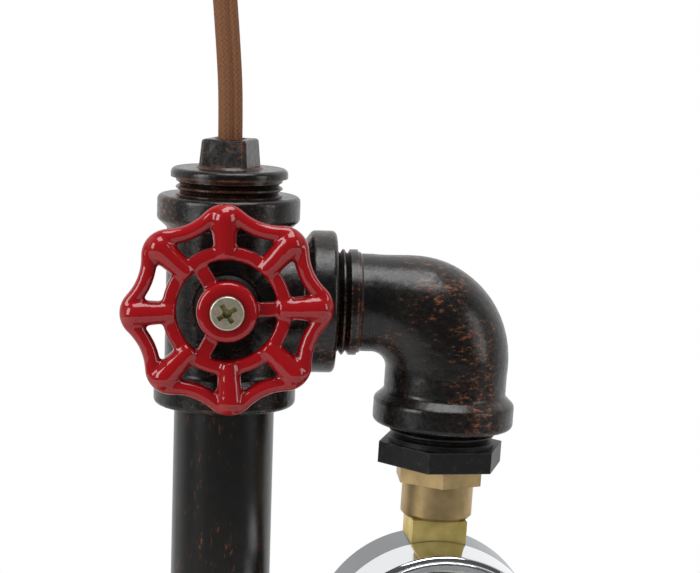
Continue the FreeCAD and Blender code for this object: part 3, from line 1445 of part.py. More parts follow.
def lamp_screw_shell():
    """Takes the bulb's cap."""
    body = lamp_body("lamp_screw_shell", insert_top)
    rings = [(0, 0, size.shell_bore), (0, 0, size.shell_bore + 2 * size.shell_wall)]
    padded(body, circles(body, rings), size.shell_height)


def lamp_contact():
    """A spring plate, drawn as a low cone."""
    body = lamp_body("lamp_contact", insert_top)
    high, foot = size.lamp_contact_height, size.lamp_contact_height * 2
    turned(body, outline(body, [(0, 0), (foot, 0), (foot, high / 4), (high, high), (0, high)]))


cap_radius = size.lamp_cap_dia / 2
neck_radius = cap_radius - size.shell_wall
button_height = size.lamp_cap_insulator * 0.3


def bulb_cap():
    """Screw cap, drawn as a shell with rings for its thread."""
    body = lamp_body("bulb_cap", bulb_foot)
    foot, top = size.lamp_cap_insulator, size.lamp_cap_height
    pitch, depth = (top - foot) / 6, size.shell_wall * 0.8
    rings = []
    for turn in range(5):
        rings.append((cap_radius, foot + pitch * (turn + 0.3)))
        rings.append((cap_radius - depth, foot + pitch * (turn + 0.8)))
    turned(body, outline(body, [(neck_radius, foot), (cap_radius - depth, foot)] + rings
           + [(cap_radius, top - pitch / 2), (cap_radius, top), (neck_radius, top)]))


def bulb_foot_pieces():
    """The black glass under the cap, and the contact in its middle."""
    insulator = lamp_body("bulb_cap_insulator", bulb_foot)
    narrow, high = size.lamp_contact_height * 2, size.lamp_cap_insulator
    cone = [(0, button_height), (narrow, button_height), (neck_radius, high), (0, high)]
    turned(insulator, outline(insulator, cone))
    contact = lamp_body("bulb_contact", bulb_foot)
    padded(contact, circles(contact, [(0, 0, 2 * narrow)]), button_height)


def glass_curve():
    """The bulb's profile from neck to top, as points that a spline passes through."""
    radius, neck = number(size.bulb_dia / 2), number(neck_radius)
    top, cap = number(size.bulb_length), number(size.lamp_cap_height)
    shape = ((0, 0.04), (0.1, 0.17), (0.55, 0.4), (0.92, 0.57), (1, 0.66), (0.9, 0.81), (0.55, 0.94))
    points = [Vector(neck + (radius - neck) * across, 0, cap + (top - cap) * up) for across, up in shape]
    return points + [Vector(0, 0, top)]


def spline_through(points):
    """A curve that starts straight up and ends level."""
    curve = Part.BSplineCurve()
    curve.interpolate(Points=points, InitialTangent=Z_AXIS * 40, FinalTangent=X_AXIS * -40)
    return curve


def bulb_glass():
    """Hollow, so its inner profile runs one wall inside the outer one."""
    outer = spline_through(glass_curve())
    wall, seat = number(size.bulb_wall), number(size.lamp_cap_height) * 0.7
    inner_points = []
    for point in glass_curve():
        tangent = outer.tangent(outer.parameter(point))[0]
        inner_points.append(point + Vector(-tangent.z, 0, tangent.x) * wall)
    inner_points[-1].x = 0
    inner = spline_through(inner_points)
    low, inner_low = outer.StartPoint, inner.StartPoint
    edges = [
        Part.LineSegment(Vector(low.x, 0, seat), low), outer,
        Part.LineSegment(outer.EndPoint, inner.EndPoint), inner,
        Part.LineSegment(inner_low, Vector(inner_low.x, 0, seat)),
        Part.LineSegment(Vector(inner_low.x, 0, seat), Vector(low.x, 0, seat)),
    ]
    profile = Part.Face(Part.Wire(Part.__sortEdges__([edge.toShape() for edge in edges])))
    shape = profile.revolve(Vector(), Z_AXIS, 360)
    place = (-size.arm_reach, 0, holder_foot + bulb_foot)
    plain_part("bulb_glass", shape, Placement(Vector(*map(number, place)), Rotation()))


def bulb_stem():
    """Glass foot sealed into the neck, with a rod up the middle."""
    body = lamp_body("bulb_stem", bulb_foot)
    flare, low = neck_radius - size.bulb_wall, size.lamp_cap_height * 0.8
    rod, tube_radius, top = 3 * size.filament_dia, 6 * size.filament_dia, size.bulb_length * 0.7
    turned(body, outline(body, [
        (0, low), (flare, low), (flare, low + size.bulb_wall), (tube_radius, low * 1.6),
        (tube_radius, low * 2.4), (rod, low * 2.6), (rod, top), (0, top)]))


def bulb_filament():
    """A wire zigzag round the rod, held off it by an arm at every turning point."""
    wire, rod = number(size.filament_dia) / 2, number(size.filament_dia) * 3
    low, high = [number(size.bulb_length) * share for share in (0.42, 0.68)]
    turns, spread = int(number(size.filament_turns)), number(neck_radius) * 0.8
    points = []
    for step in range(2 * turns):
        angle, height = math.pi * step / turns, (low, high)[step % 2]
        points.append(Vector(spread * math.cos(angle), spread * math.sin(angle), height))
    spans = [(points[i - 1], points[i]) for i in range(1, len(points))]
    arms = [(Vector(p.x, p.y, 0).normalize() * (rod - wire) + Vector(0, 0, p.z), p) for p in points]
    bars = [Part.makeCylinder(wire, (b - a).Length, a, b - a) for a, b in spans + arms]
    knobs = [Part.makeSphere(wire, point) for point in points]
    place = (-size.arm_reach, 0, holder_foot + bulb_foot)
    shape = bars[0].multiFuse(bars[1:] + knobs)
    centre_rod = Part.makeCylinder(rod, number(size.bulb_length))
    plain_part("bulb_filament", shape.cut(centre_rod), Placement(Vector(*map(number, place)), Rotation()))


# ---------------------------------------------------------------- cord

# Chosen by hand: out of the plug, over to the left, down behind the lamp and round behind the base.
CORD_ROUTE = (
    (0, 0, 468), (-1, 0.3, 482), (-2.9, 1.5, 502), (-7.8, 4.7, 524), (-21.5, 12.4, 543), (-40, 23, 549.8),
    (-58.5, 33.8, 543.2), (-71, 41, 524), (-73.6, 42.5, 498), (-74, 43.2, 462), (-73.6, 43.8, 415),
    (-74.5, 44, 360), (-74.5, 45, 305), (-75.2, 46, 250), (-77, 49, 195), (-80, 56, 140), (-84, 66, 90),
    (-92, 80, 52), (-93, 89, 24), (-72, 94, 3),
)
COIL_CENTRE = (-22, 130)
COIL_STUB = 22
TAIL_LENGTH = 40


def coil_outer_turn():
    """Middle of the cord in the outermost turn."""
    return number(size.coil_mean_dia) / 2 + number(size.cord_dia) * (number(size.coil_columns) - 1) / 2


def coil_point(angle, along=0):
    """A point on the outermost turn's circle, or further along its tangent, anticlockwise from above."""
    x, y = COIL_CENTRE
    turn, radius = math.radians(angle), coil_outer_turn()
    return (
        x + radius * math.cos(turn) - along * math.sin(turn),
        y + radius * math.sin(turn) + along * math.cos(turn),
        number(size.cord_dia) / 2,
    )


def cord_run():
    """From the plug to the coil on the table."""
    route = [(0, 0, number(cord_exit)), *CORD_ROUTE, coil_point(-90, -COIL_STUB)]
    tube_along("cord_run", route, size.cord_dia)


def cord_coil():
    """The coil's outer shape, with a straight stub where the cord comes in and one where it leaves."""
    cord, mean = number(size.cord_dia), number(size.coil_mean_dia) / 2
    half, height = cord * number(size.coil_columns) / 2, cord * number(size.coil_layers)
    outer = Part.makeCylinder(mean + half, height)
    edges = [edge for edge in outer.Edges if is_ring(edge, mean + half)]
    ring = outer.makeFillet(cord / 2, edges).cut(Part.makeCylinder(mean - half, height))
    ring.translate(Vector(*COIL_CENTRE, 0))
    entry, leave = Vector(*coil_point(-90)), Vector(*coil_point(-45))
    stubs = []
    for angle, along, start in ((-90, -COIL_STUB, entry), (-45, COIL_STUB, leave)):
        end = Vector(*coil_point(angle, along))
        stubs.append(Part.makeCylinder(cord / 2, COIL_STUB, end, start - end))
    plain_part("cord_coil", ring.multiFuse(stubs).removeSplitter())


def plug_place():
    """Where the cord enters the plug's sleeve, and which way the plug points."""
    start, further = Vector(*coil_point(-45, COIL_STUB)), Vector(*coil_point(-45, COIL_STUB + TAIL_LENGTH))
    further.z = number(size.plug_body_height) / 2
    level = Vector(further.x - start.x, further.y - start.y, 0).normalize()
    return start, further, level


def cord_tail():
    """From the coil down into the mains plug."""
    start, end, level = plug_place()
    step = TAIL_LENGTH / 3
    low, high = start + level * step, end - level * step
    tube_along("cord_tail", [tuple(start), tuple(low), tuple(high), tuple(end)], size.cord_dia)


def is_flat_line(edge, height, beyond):
    """Whether a straight edge lies at a height above or below the middle, past a place along Y."""
    centre = edge.CenterOfMass
    return (
        isinstance(edge.Curve, Part.Line)
        and abs(abs(centre.z) - number(height)) < 1e-4
        and centre.y > number(beyond) + 1
    )


def mains_plug():
    """Plain round-pin plug lying on its flat side, its sleeve towards the cord."""
    start, end, level = plug_place()
    turn = Rotation(Z_AXIS, math.degrees(math.atan2(level.y, level.x)) - 90)
    base = (end.x, end.y, number(size.plug_body_height) / 2)
    body = new_body("plug_body", base, turn)
    sleeve, length, width = size.plug_sleeve_length, size.plug_body_length, size.plug_body_width / 2
    height, cord = size.plug_body_height, size.cord_dia / 2
    half = [(0, 0), (cord + size.plug_sleeve_lip, 0), (size.plug_sleeve_dia / 2, sleeve), (0, sleeve)]
    turned(body, outline(body, half, "XY_Plane"))
    shape = [
        (-width / 3, sleeve), (width / 3, sleeve), (width, sleeve + length * 2 / 3),
        (width, sleeve + length), (-width, sleeve + length), (-width, sleeve + length * 2 / 3)]
    block = padded(body, outline(body, shape, "XY_Plane"), height, both_ways=True)
    long_edges = edges_where(block, lambda edge: is_flat_line(edge, height / 2, sleeve))
    dressed(body, "Fillet", block, long_edges, height / 4)
    pin_holes = [(side * size.plug_pin_gap / 2, 0, size.plug_pin_dia) for side in (-1, 1)]
    face = circles(body, pin_holes, "XZ_Plane", offset=(0, 0, -(sleeve + length)))
    padded(body, face, size.plug_pin_dia, cut=True, backwards=True)
    plug_pins(base, turn, sleeve + length)


def plug_pins(base, turn, face):
    """Two separate pins, seated in the plug as deep as they are thick."""
    radius, length = number(size.plug_pin_dia) / 2, number(size.plug_pin_dia + size.plug_pin_length)
    pin = Part.makeCylinder(radius, length)
    rim = [edge for edge in pin.Edges if is_ring(edge, radius, length)]
    foot = face - size.plug_pin_dia
    places = [(side * size.plug_pin_gap / 2, foot, 0) for side in (-1, 1)]
    pins = copies(pin.makeFillet(radius / 2, rim), places, Rotation(X_AXIS, -90))
    plain_part("plug_pins", pins, Placement(Vector(*base), turn))


PIECES = (
    rubber_pad, base_plate, floor_flange, flange_screws, column_tubes, grub_screws, upper_tee, lower_tee,
    elbows, bushings, top_plug, cord_bush, lead_wire,
    brass_adaptor, gauge_stem, gauge_case, case_screws, gauge_bezel, gauge_window, gauge_dial,
    movement_frame, bourdon_tube, sector, bourdon_link, pinion, pointer,
    dimmer, dimmer_bush, gland_nut, spindle, wiper, handwheel, wheel_screw,
    lamp_nipple, lamp_locknut, lampholder_cap, lampholder_skirt, lampholder_insert, terminal_screws,
    lamp_screw_shell, lamp_contact, bulb_cap, bulb_foot_pieces, bulb_glass, bulb_stem, bulb_filament,
    cord_run, cord_coil, cord_tail, mains_plug,
)


def check(doc):
    """Stop if anything failed to build, and return the pieces."""
    failed = [item.Name for item in doc.Objects if {"Invalid", "Error"} & set(item.State)]
    pieces = [item for item in doc.Objects if item.TypeId in ("PartDesign::Body", "Part::Feature")]
    failed += [item.Label for item in pieces if item.Shape.isNull() or not item.Shape.isValid()]
    if failed:
        raise RuntimeError("failed: " + ", ".join(failed))
    return pieces


for make in PIECES:
    make()
doc.recompute()
os.makedirs("parts", exist_ok=True)
for piece in check(doc):
    piece.Shape.exportStep(f"parts/{piece.Label}.step")
    print(f"{piece.Label}: {len(piece.Shape.Solids)} solid, {piece.Shape.Volume / 1000:.2f} cm3")
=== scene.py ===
"""Pipe lamp with a handwheel dimmer and a pressure gauge: finishes, cord, dial, handwheel and studio.

The frame is in metres: the origin is the centre of the underside, +Z is up the column, +X is towards
the gauge, and -Y is the front, where the handwheel faces.
"""

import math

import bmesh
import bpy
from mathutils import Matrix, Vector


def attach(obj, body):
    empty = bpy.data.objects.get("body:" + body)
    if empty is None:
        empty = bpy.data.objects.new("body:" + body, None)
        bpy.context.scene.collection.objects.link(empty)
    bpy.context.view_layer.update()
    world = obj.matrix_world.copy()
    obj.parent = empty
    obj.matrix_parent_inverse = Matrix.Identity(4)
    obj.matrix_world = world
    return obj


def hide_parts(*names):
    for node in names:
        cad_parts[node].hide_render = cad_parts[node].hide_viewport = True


bl_info = {
    "name": "Pipe Lamp",
    "version": (1, 0, 0),
    "blender": (4, 5, 0),
    "location": "View3D > Sidebar > Pipe Lamp",
    "description": "Finishes and soft parts of a pipe lamp, built on its packed frame",
    "category": "Object",
}

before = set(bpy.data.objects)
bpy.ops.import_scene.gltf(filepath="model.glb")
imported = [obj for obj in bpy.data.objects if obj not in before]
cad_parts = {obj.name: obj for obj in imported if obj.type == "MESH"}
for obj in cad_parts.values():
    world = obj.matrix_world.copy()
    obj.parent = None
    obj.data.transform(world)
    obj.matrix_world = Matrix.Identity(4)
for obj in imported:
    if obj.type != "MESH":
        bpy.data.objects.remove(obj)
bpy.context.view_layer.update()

MM = 0.001
# Corners of a mesh that are nearer than this are one corner, and so are points of a line.
SAME_CORNER = 0.002 * MM
SAME_POINT = 0.001 * MM

# The gauge hangs a little out of true: its middle, and its axes across, up and out of the dial.
GAUGE_CENTRE = Vector((0.052991, 0, 0.331018))
GAUGE_ACROSS = Vector((0.996172, 0.080199, -0.034787))
GAUGE_UP = Vector((0.034899, 0, 0.999391))
GAUGE_OUT = GAUGE_ACROSS.cross(GAUGE_UP)
# How far in front of that middle the dial's face is, and the seam round the drum.
DIAL_FACE = 14.6 * MM
DRUM_SEAM = 7.4 * MM

# The dial's scale starts at this angle and runs clockwise over this sweep, both in degrees.
SCALE_START = 225
SCALE_SWEEP = 270
MARKS_PER_NUMBER = 5
NUMBERS_PER_FIGURE = 2
# Length and width of a mark in millimetres, at a figure, at a number without one, and in between.
MARK_AT_FIGURE = (3.4, 0.55)
MARK_AT_NUMBER = (2.6, 0.4)
MARK_BETWEEN = (1.5, 0.2)
SCALE_LINE_WIDTH = 0.35 * MM
# How far the middle of a figure is inside the scale's outer line, and the ink in front of the paint.
FIGURE_INSET = 6.6 * MM
INK_LIFT = 0.03 * MM
# The font's size for figures one unit high.
FONT_SIZE = 1.4

# The cord's route out of the top plug, over and down behind the lamp, in millimetres.
CORD_EXIT = (0, 0, 451.45)
CORD_RUN = (
    (0, 0, 468), (-1, 0.3, 482), (-2.9, 1.5, 502), (-7.8, 4.7, 524), (-21.5, 12.4, 543),
    (-40, 23, 549.8), (-58.5, 33.8, 543.2), (-71, 41, 524), (-73.6, 42.5, 498), (-74, 43.2, 462),
    (-73.6, 43.8, 415), (-74.5, 44, 360), (-74.5, 45, 305), (-75.2, 46, 250), (-77, 49, 195),
    (-80, 56, 140), (-84, 66, 90), (-92, 80, 52), (-93, 89, 24), (-72, 94, 3), (-44, 94, 3),
)
COIL_CENTRE = (-22, 130)
COIL_POINTS_PER_TURN = 16
# How the coil is wound: degrees turned since the cord came in, radius and height of its middle.
COIL_WINDING = (
    (0, 36, 3), (315, 36, 3), (360, 30, 3), (675, 30, 3), (720, 24, 3), (990, 24, 3),
    (1035, 24, 9.1), (1305, 24, 9.1), (1350, 30, 9.1), (1665, 30, 9.1), (1710, 36, 9.1),
    (1845, 36, 9.3),
)
# Where round the coil the cord comes in and leaves it, in degrees.
COIL_ENTRY = -90
COIL_EXIT = -45
# The tail's points after that: distance along the tangent, and height.
CORD_TAIL = ((12, 8.8), (24, 5.2), (36, 3.2), (48, 6.2), (62.1, 6.8))
CORD_SIDES = 28
# The pair of cores runs this far, in metres, before it starts to turn.
CORD_UNTWISTED = 0.09

# The floor's radius in metres, and the distances where it starts to fade and is white.
FLOOR_RADIUS = 1.1
FLOOR_FADE = (0.35, 1.0)
# Each soft lamp's name, place, width and height in metres, and power in watts.
SOFT_LAMPS = (
    ("left_soft_lamp", (-1.1, -0.7, 0.8), (0.5, 1.0), 10.0),
    ("right_soft_lamp", (1.2, -0.5, 0.7), (0.35, 0.9), 3.3),
    ("top_soft_lamp", (0.1, -0.2, 1.5), (0.8, 0.6), 9.0),
)
LAMPS_AIM = Vector((0.02, 0, 0.38))
# What gloss mirrors changes between these Y directions, from the dark front to the white back.
DARK_TO_WHITE = (-0.3, 0.66)
DARK_FRONT = 0.09
FILL_LIGHT = 0.28

# The camera: what it aims at, how far off it is in metres, and how far it is turned in degrees.
CAMERA_AIM = Vector((30.65, 0, 423.3)) * MM
CAMERA_DISTANCE = 0.549
CAMERA_SIDE = 3.6
CAMERA_DOWN = 8
CAMERA_ROLL = 1.8
# The sensor's width in millimetres, and the focal length over that width.
SENSOR_WIDTH = 36
FOCAL_SHARE = 22 / 7


def linear(code):
    """An sRGB hex code as linear red, green and blue."""
    channels = [int(code[i:i + 2], 16) / 255 for i in (0, 2, 4)]
    return tuple(c / 12.92 if c <= 0.04045 else ((c + 0.055) / 1.055) ** 2.4 for c in channels)


def opaque(colour, factor=1.0):
    """A colour property or tuple, made darker or lighter, with full alpha for a shader's socket."""
    return (*(min(1.0, c * factor) for c in colour), 1.0)


# ---------------------------------------------------------------- what a user would change


class CordSizes(bpy.types.PropertyGroup):
    """The textile cord."""

    core_radius: bpy.props.FloatProperty(
        name="Core Radius", description="Radius of each of the two cores under the braid",
        default=1.85 * MM, unit="LENGTH")
    core_offset: bpy.props.FloatProperty(
        name="Core Offset", description="Distance of each core from the cord's middle",
        default=1.25 * MM, unit="LENGTH")
    lay_angle: bpy.props.FloatProperty(
        name="Lay Angle", description="How far the pair of cores is turned where it leaves the plug",
        default=math.radians(22), subtype="ANGLE")
    twist_pitch: bpy.props.FloatProperty(
        name="Twist Pitch", description="Length of cord over which the pair turns once",
        default=0.13, unit="LENGTH")
    colour: bpy.props.FloatVectorProperty(
        name="Yarn Colour", description="Colour of the braid", subtype="COLOR",
        default=linear("7d5338"))


class CastingSizes(bpy.types.PropertyGroup):
    """The painted iron fittings."""

    dark: bpy.props.FloatVectorProperty(
        name="Bronze Colour", description="Dark coat of the fittings", subtype="COLOR",
        default=linear("0e0c0b"))
    copper: bpy.props.FloatVectorProperty(
        name="Rub Colour", description="Copper that shows where the coat is rubbed",
        subtype="COLOR", default=linear("844c30"))
    edge_width: bpy.props.FloatProperty(
        name="Rubbed Edge Width", description="How far the rubbing reaches from an edge",
        default=1.1 * MM, unit="LENGTH")


class WheelSizes(bpy.types.PropertyGroup):
    """The handwheel."""

    enamel: bpy.props.FloatVectorProperty(
        name="Enamel Colour", description="Colour of the handwheel", subtype="COLOR",
        default=linear("9a0811"))
    coat_softness: bpy.props.IntProperty(
        name="Coat Softness", description="How often the edges are smoothed under the thick coat",
        default=10, min=0, max=40)
    voxel: bpy.props.FloatProperty(
        name="Casting Detail", description="Grid size of the casting's surface",
        default=0.38 * MM, unit="LENGTH")


class DialSizes(bpy.types.PropertyGroup):
    """The printed scale of the gauge."""

    scale_radius: bpy.props.FloatProperty(
        name="Scale Radius", description="Radius of the scale's outer line",
        default=23.6 * MM, unit="LENGTH")
    figure_height: bpy.props.FloatProperty(
        name="Figure Height", description="Height of the numbers", default=4.2 * MM, unit="LENGTH")
    highest: bpy.props.IntProperty(
        name="Highest Number", description="Number at the end of the scale", default=10, min=2)


# ---------------------------------------------------------------- small tools


def set_inputs(tree, node, links):
    """Give each input of a node its value, or link it to another node's output."""
    for name, value in links.items():
        if isinstance(value, bpy.types.NodeSocket):
            tree.links.new(value, node.inputs[name])
        else:
            node.inputs[name].default_value = value


def add_node(tree, kind, links=None, **settings):
    """Add a shader node with its settings and its inputs."""
    node = tree.nodes.new(kind)
    for name, value in settings.items():
        setattr(node, name, value)
    set_inputs(tree, node, links or {})
    return node


def start_material(name):
    """A new material's node tree and its shader."""
    material = bpy.data.materials.new(name)
    material.use_nodes = True
    return material, material.node_tree, material.node_tree.nodes["Principled BSDF"]


def object_place(tree):
    """Where a point is, in its piece's own coordinates."""
    return add_node(tree, "ShaderNodeTexCoord").outputs["Object"]


def noise(tree, place, scale, detail, roughness=0.5):
    """Cloudy noise from nought to one, scale lumps to the metre."""
    return add_node(tree, "ShaderNodeTexNoise", {
        "Vector": place, "Scale": scale, "Detail": detail, "Roughness": roughness}).outputs[0]


def ramp(tree, value, start, end, low=0.0, high=1.0, curve="LINEAR"):
    """Low where a value is at start or before it, high from end on, and even in between."""
    return add_node(tree, "ShaderNodeMapRange", {
        "Value": value, "From Min": start, "From Max": end, "To Min": low, "To Max": high},
        interpolation_type=curve).outputs[0]


def blend_colours(tree, share, first, second):
    """The first colour where the share is nought, and the second where it is one."""
    return add_node(tree, "ShaderNodeMix", {0: share, 6: first, 7: second},
                    data_type="RGBA").outputs[2]


def blend_values(tree, share, first, second):
    """The first value where the share is nought, and the second where it is one."""
    return add_node(tree, "ShaderNodeMix", {0: share, 2: first, 3: second}).outputs[0]


def reckon(tree, operation, *values):
    """A sum on values or outputs."""
    node = add_node(tree, "ShaderNodeMath", dict(enumerate(values)), operation=operation)
    return node.outputs[0]


def dot_product(tree, first, second):
    """How far one direction or place lies along another."""
    node = add_node(tree, "ShaderNodeVectorMath", {0: first, 1: second}, operation="DOT_PRODUCT")
    return node.outputs["Value"]


def relief(tree, height, strength, distance, over=None):
    """Bumps of a height in metres, over other bumps if there are any."""
    links = {"Height": height, "Strength": strength, "Distance": distance}
    if over is not None:
        links["Normal"] = over
    return add_node(tree, "ShaderNodeBump", links).outputs[0]


def openness(tree, distance, samples=6):
    """One in the open, and less in a corner or recess that is within a distance."""
    node = add_node(tree, "ShaderNodeAmbientOcclusion", {"Distance": distance}, samples=samples)
    return node.outputs["AO"]


def on_an_edge(tree, radius, flat, sharp, most):
    """Nought on a flat face, and up to most on an edge.

    A bevel of the radius tilts the surface there: flat and sharp are the cosines of the tilt where
    the edge starts and where it is reached.
    """
    rounded = add_node(tree, "ShaderNodeBevel", {"Radius": radius}, samples=6)
    face = add_node(tree, "ShaderNodeNewGeometry")
    facing = dot_product(tree, rounded.outputs[0], face.outputs["Normal"])
    return ramp(tree, facing, flat, sharp, 0.0, most)


def finish(material, *node_names):
    """Give CAD nodes their material."""
    for node_name in node_names:
        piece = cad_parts[node_name]
        piece.data.materials.clear()
        piece.data.materials.append(material)


def mesh_from(bm, name):
    """A mesh from a bmesh, which is freed."""
    mesh = bpy.data.meshes.new(name)
    bm.to_mesh(mesh)
    bm.free()
    return mesh


def new_piece(name, mesh, material, body, smooth=True):
    """Put a finished mesh in the scene, riding on a body."""
    for polygon in mesh.polygons:
        polygon.use_smooth = smooth
    mesh.materials.clear()
    mesh.materials.append(material)
    piece = bpy.data.objects.new(name, mesh)
    bpy.context.scene.collection.objects.link(piece)
    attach(piece, body)
    return piece


# ---------------------------------------------------------------- finishes


def oil_rubbed_bronze(name, colours, rubbed, grain=1.0, streaks=(430, 950, 1150), edge_rub=0.17):
    """Cast iron under a dark bronze coat, rubbed through to copper by hand.

    The coat is satin, with soft grey highlights; flecks and short scratches of copper gather along
    edges and bands.
    """
    material, tree, shader = start_material(name)
    place = object_place(tree)
    # Patches about 20 mm across decide where a hand rubbed harder.
    patch = noise(tree, place, 52.0, 2.0)
    # Scratches 1 to 2 mm long, leaning to one side.
    lean = add_node(tree, "ShaderNodeMapping", {
        "Vector": place, "Rotation": (0.35, math.radians(34), 0.25), "Scale": streaks})
    fleck = noise(tree, lean.outputs[0], 1.0, 6.0, 0.78)
    edge = on_an_edge(tree, colours.edge_width, 0.995, 0.88, edge_rub)
    worn = reckon(tree, "MULTIPLY_ADD", patch, 0.45, edge)
    worn = reckon(tree, "ADD", fleck, worn)
    # A hand doesn't reach down between the threads.
    reached = ramp(tree, openness(tree, 1.6 * MM, 4), 0.45, 0.85, -0.2, 0.0)
    worn = reckon(tree, "ADD", worn, reached)
    # The harder the rubbing, the sooner copper shows.
    sooner = 0.03 * rubbed
    mask = ramp(tree, worn, 0.86 - sooner, 0.98 - sooner, 0.0, min(1.0, 0.9 * rubbed))
    # A brown haze lies over the dark coat where it is rubbed most.
    haze = ramp(tree, worn, 0.74, 0.95, 0.0, 0.4 * rubbed)
    coat = blend_colours(tree, haze, opaque(colours.dark), opaque(linear("38241a")))
    rub = blend_colours(tree, fleck, opaque(colours.copper, 0.5), opaque(colours.copper, 1.5))
    colour = blend_colours(tree, mask, coat, rub)
    # Sand-cast grain of about 1 mm, over a slow unevenness of the mould.
    sand = noise(tree, place, 950.0, 4.0, 0.6)
    satin, uneven = 0.29, min(grain, 1.0)
    gloss = ramp(tree, sand, 0.35, 0.65, satin - 0.06 * uneven, satin + 0.07 * uneven)
    wave = relief(tree, noise(tree, place, 170.0, 2.0), 0.7, 0.35 * MM * grain)
    set_inputs(tree, shader, {
        "Base Color": colour, "Roughness": gloss, "Specular IOR Level": 0.45,
        "Normal": relief(tree, sand, 0.6, 0.06 * MM * grain, wave)})
    return material


def flat_black_iron(name):
    """Malleable iron under flat black paint: dull, scuffed grey by a spanner or a thread."""
    material, tree, shader = start_material(name)
    scuff = noise(tree, object_place(tree), 520.0, 6.0, 0.8)
    worn = reckon(tree, "ADD", scuff, on_an_edge(tree, 0.7 * MM, 0.99, 0.85, 0.2))
    mask = ramp(tree, worn, 0.55, 0.85, 0.0, 0.5)
    set_inputs(tree, shader, {
        "Base Color": blend_colours(tree, mask, opaque(linear("090909")), opaque(linear("65605b"))),
        "Roughness": 0.46, "Specular IOR Level": 0.4,
        "Normal": relief(tree, scuff, 0.6, 0.1 * MM)})
    return material


def dipped_enamel(name, enamel):
    """Iron casting dipped in gloss enamel: deep and wet-looking, with painted shade that darkens it in
    corners and recesses.
    """
    material, tree, shader = start_material(name)
    # Painted shade: where a corner or recess lies within 6 mm, the enamel is darkened, down to a quarter of
    # its colour.
    depth = ramp(tree, openness(tree, 6 * MM), 0.35, 0.95)
    # The casting's own lumps, 4 mm apart, still show through the coat.
    lumps = relief(tree, noise(tree, object_place(tree), 260.0, 1.0), 0.6, 0.3 * MM)
    set_inputs(tree, shader, {
        "Base Color": blend_colours(tree, depth, opaque(enamel, 0.25), opaque(enamel)),
        "Roughness": 0.45, "Specular IOR Level": 0.05, "Normal": lumps,
        "Coat Weight": 1.0, "Coat Roughness": 0.04, "Coat Normal": lumps})
    return material


def yellow_zinc(name):
    """Zinc plate with a yellow chromate: brown and grey-green in places, with painted olive shade in the
    recess.
    """
    material, tree, shader = start_material(name)
    place = object_place(tree)
    hue = ramp(tree, noise(tree, place, 420.0, 2.0), 0.4, 0.62)
    spot = noise(tree, place, 1300.0, 3.0)
    tint = blend_colours(tree, hue, opaque(linear("9ea287")), opaque(linear("c8a091")))
    pale = blend_colours(tree, spot, tint, opaque(linear("e6dfca")))
    # Painted shade: where a recess lies within 1.2 mm, the colour turns a darker olive.
    clear_of_painted_shade = ramp(tree, openness(tree, 1.2 * MM), 0.5, 0.95)
    set_inputs(tree, shader, {
        "Base Color": blend_colours(tree, clear_of_painted_shade, opaque(linear("a3a463")), pale),
        "Metallic": 1.0, "Roughness": 0.42, "Normal": relief(tree, spot, 0.5, 0.07 * MM)})
    return material


def turned_metal(name, colour, dark, roughness, direction, spacing=0.25, depth=0.006):
    """Bar stock turned or drawn: fine parallel lines across a direction, a little uneven in colour.

    The lines' spacing and depth are in millimetres, and each line is about 40 mm long.
    """
    material, tree, shader = start_material(name)
    place = object_place(tree)
    scale = tuple(1000 / spacing if axis == direction else 25 for axis in "XYZ")
    squeeze = add_node(tree, "ShaderNodeMapping", {"Vector": place, "Scale": scale})
    lines = noise(tree, squeeze.outputs[0], 1.0, 2.0)
    stain = ramp(tree, noise(tree, place, 200.0, 4.0), 0.35, 0.65)
    set_inputs(tree, shader, {
        "Base Color": blend_colours(tree, stain, opaque(dark), opaque(colour)), "Metallic": 1.0,
        "Roughness": roughness, "Normal": relief(tree, lines, 0.6, depth * MM)})
    return material


def seamed_chrome(name, seam):
    """Drawn steel with bright chrome in front of a seam, and left grey and satin behind it.

    The chrome is a clean mirror with the faintest orange peel from the drawing.
    """
    material, tree, shader = start_material(name)
    place = object_place(tree)
    peel = relief(tree, noise(tree, place, 330.0, 1.0), 0.3, 0.02 * MM)
    mirror = ramp(tree, noise(tree, place, 90.0, 4.0), 0.3, 0.7, 0.04, 0.09)
    from_centre = add_node(tree, "ShaderNodeVectorMath", {0: place, 1: tuple(GAUGE_CENTRE)},
                           operation="SUBTRACT")
    forward = dot_product(tree, from_centre.outputs[0], tuple(GAUGE_OUT))
    front = ramp(tree, forward, seam - 0.1 * MM, seam + 0.1 * MM)
    set_inputs(tree, shader, {
        "Base Color": blend_colours(tree, front, opaque(linear("6f7275")), opaque(linear("e4e6e8"))),
        "Metallic": 1.0, "Roughness": blend_values(tree, front, 0.24, mirror),
        "Normal": relief(tree, front, 0.8, 0.25 * MM, peel)})
    return material


def clear_glass(name, tint, waves=0.0):
    """Plain glass, flat or blown in waves of a height in millimetres, with a faint tint."""
    material, tree, shader = start_material(name)
    wave = noise(tree, object_place(tree), 60.0, 1.0)
    set_inputs(tree, shader, {
        "Base Color": opaque(tint), "Roughness": 0.0, "IOR": 1.47, "Transmission Weight": 1.0,
        "Normal": relief(tree, wave, 0.3, waves * MM)})
    return material


def moulded(name, colour, roughness, grain=0.02, grain_scale=1400.0):
    """Moulded rubber, plastic or smooth paint: an even colour with a fine grain from the mould.

    The grain's height is in millimetres, and its scale in lumps to the metre.
    """
    material, tree, shader = start_material(name)
    place = object_place(tree)
    fine = noise(tree, place, grain_scale, 3.0)
    share = reckon(tree, "MULTIPLY", noise(tree, place, 130.0, 3.0), 0.7)
    set_inputs(tree, shader, {
        "Base Color": blend_colours(tree, share, opaque(colour, 0.8), opaque(colour, 1.15)),
        "Roughness": roughness, "Normal": relief(tree, fine, 0.5, grain * MM)})
    return material


def strands_one_way(tree, around, count, along):
    """The number of the strand at each point, and its arched height across its width."""
    turned = reckon(tree, "MULTIPLY_ADD", around, count, along)
    part = reckon(tree, "FRACT", turned)
    arch = reckon(tree, "SINE", reckon(tree, "MULTIPLY", part, math.pi))
    return reckon(tree, "FLOOR", turned), arch


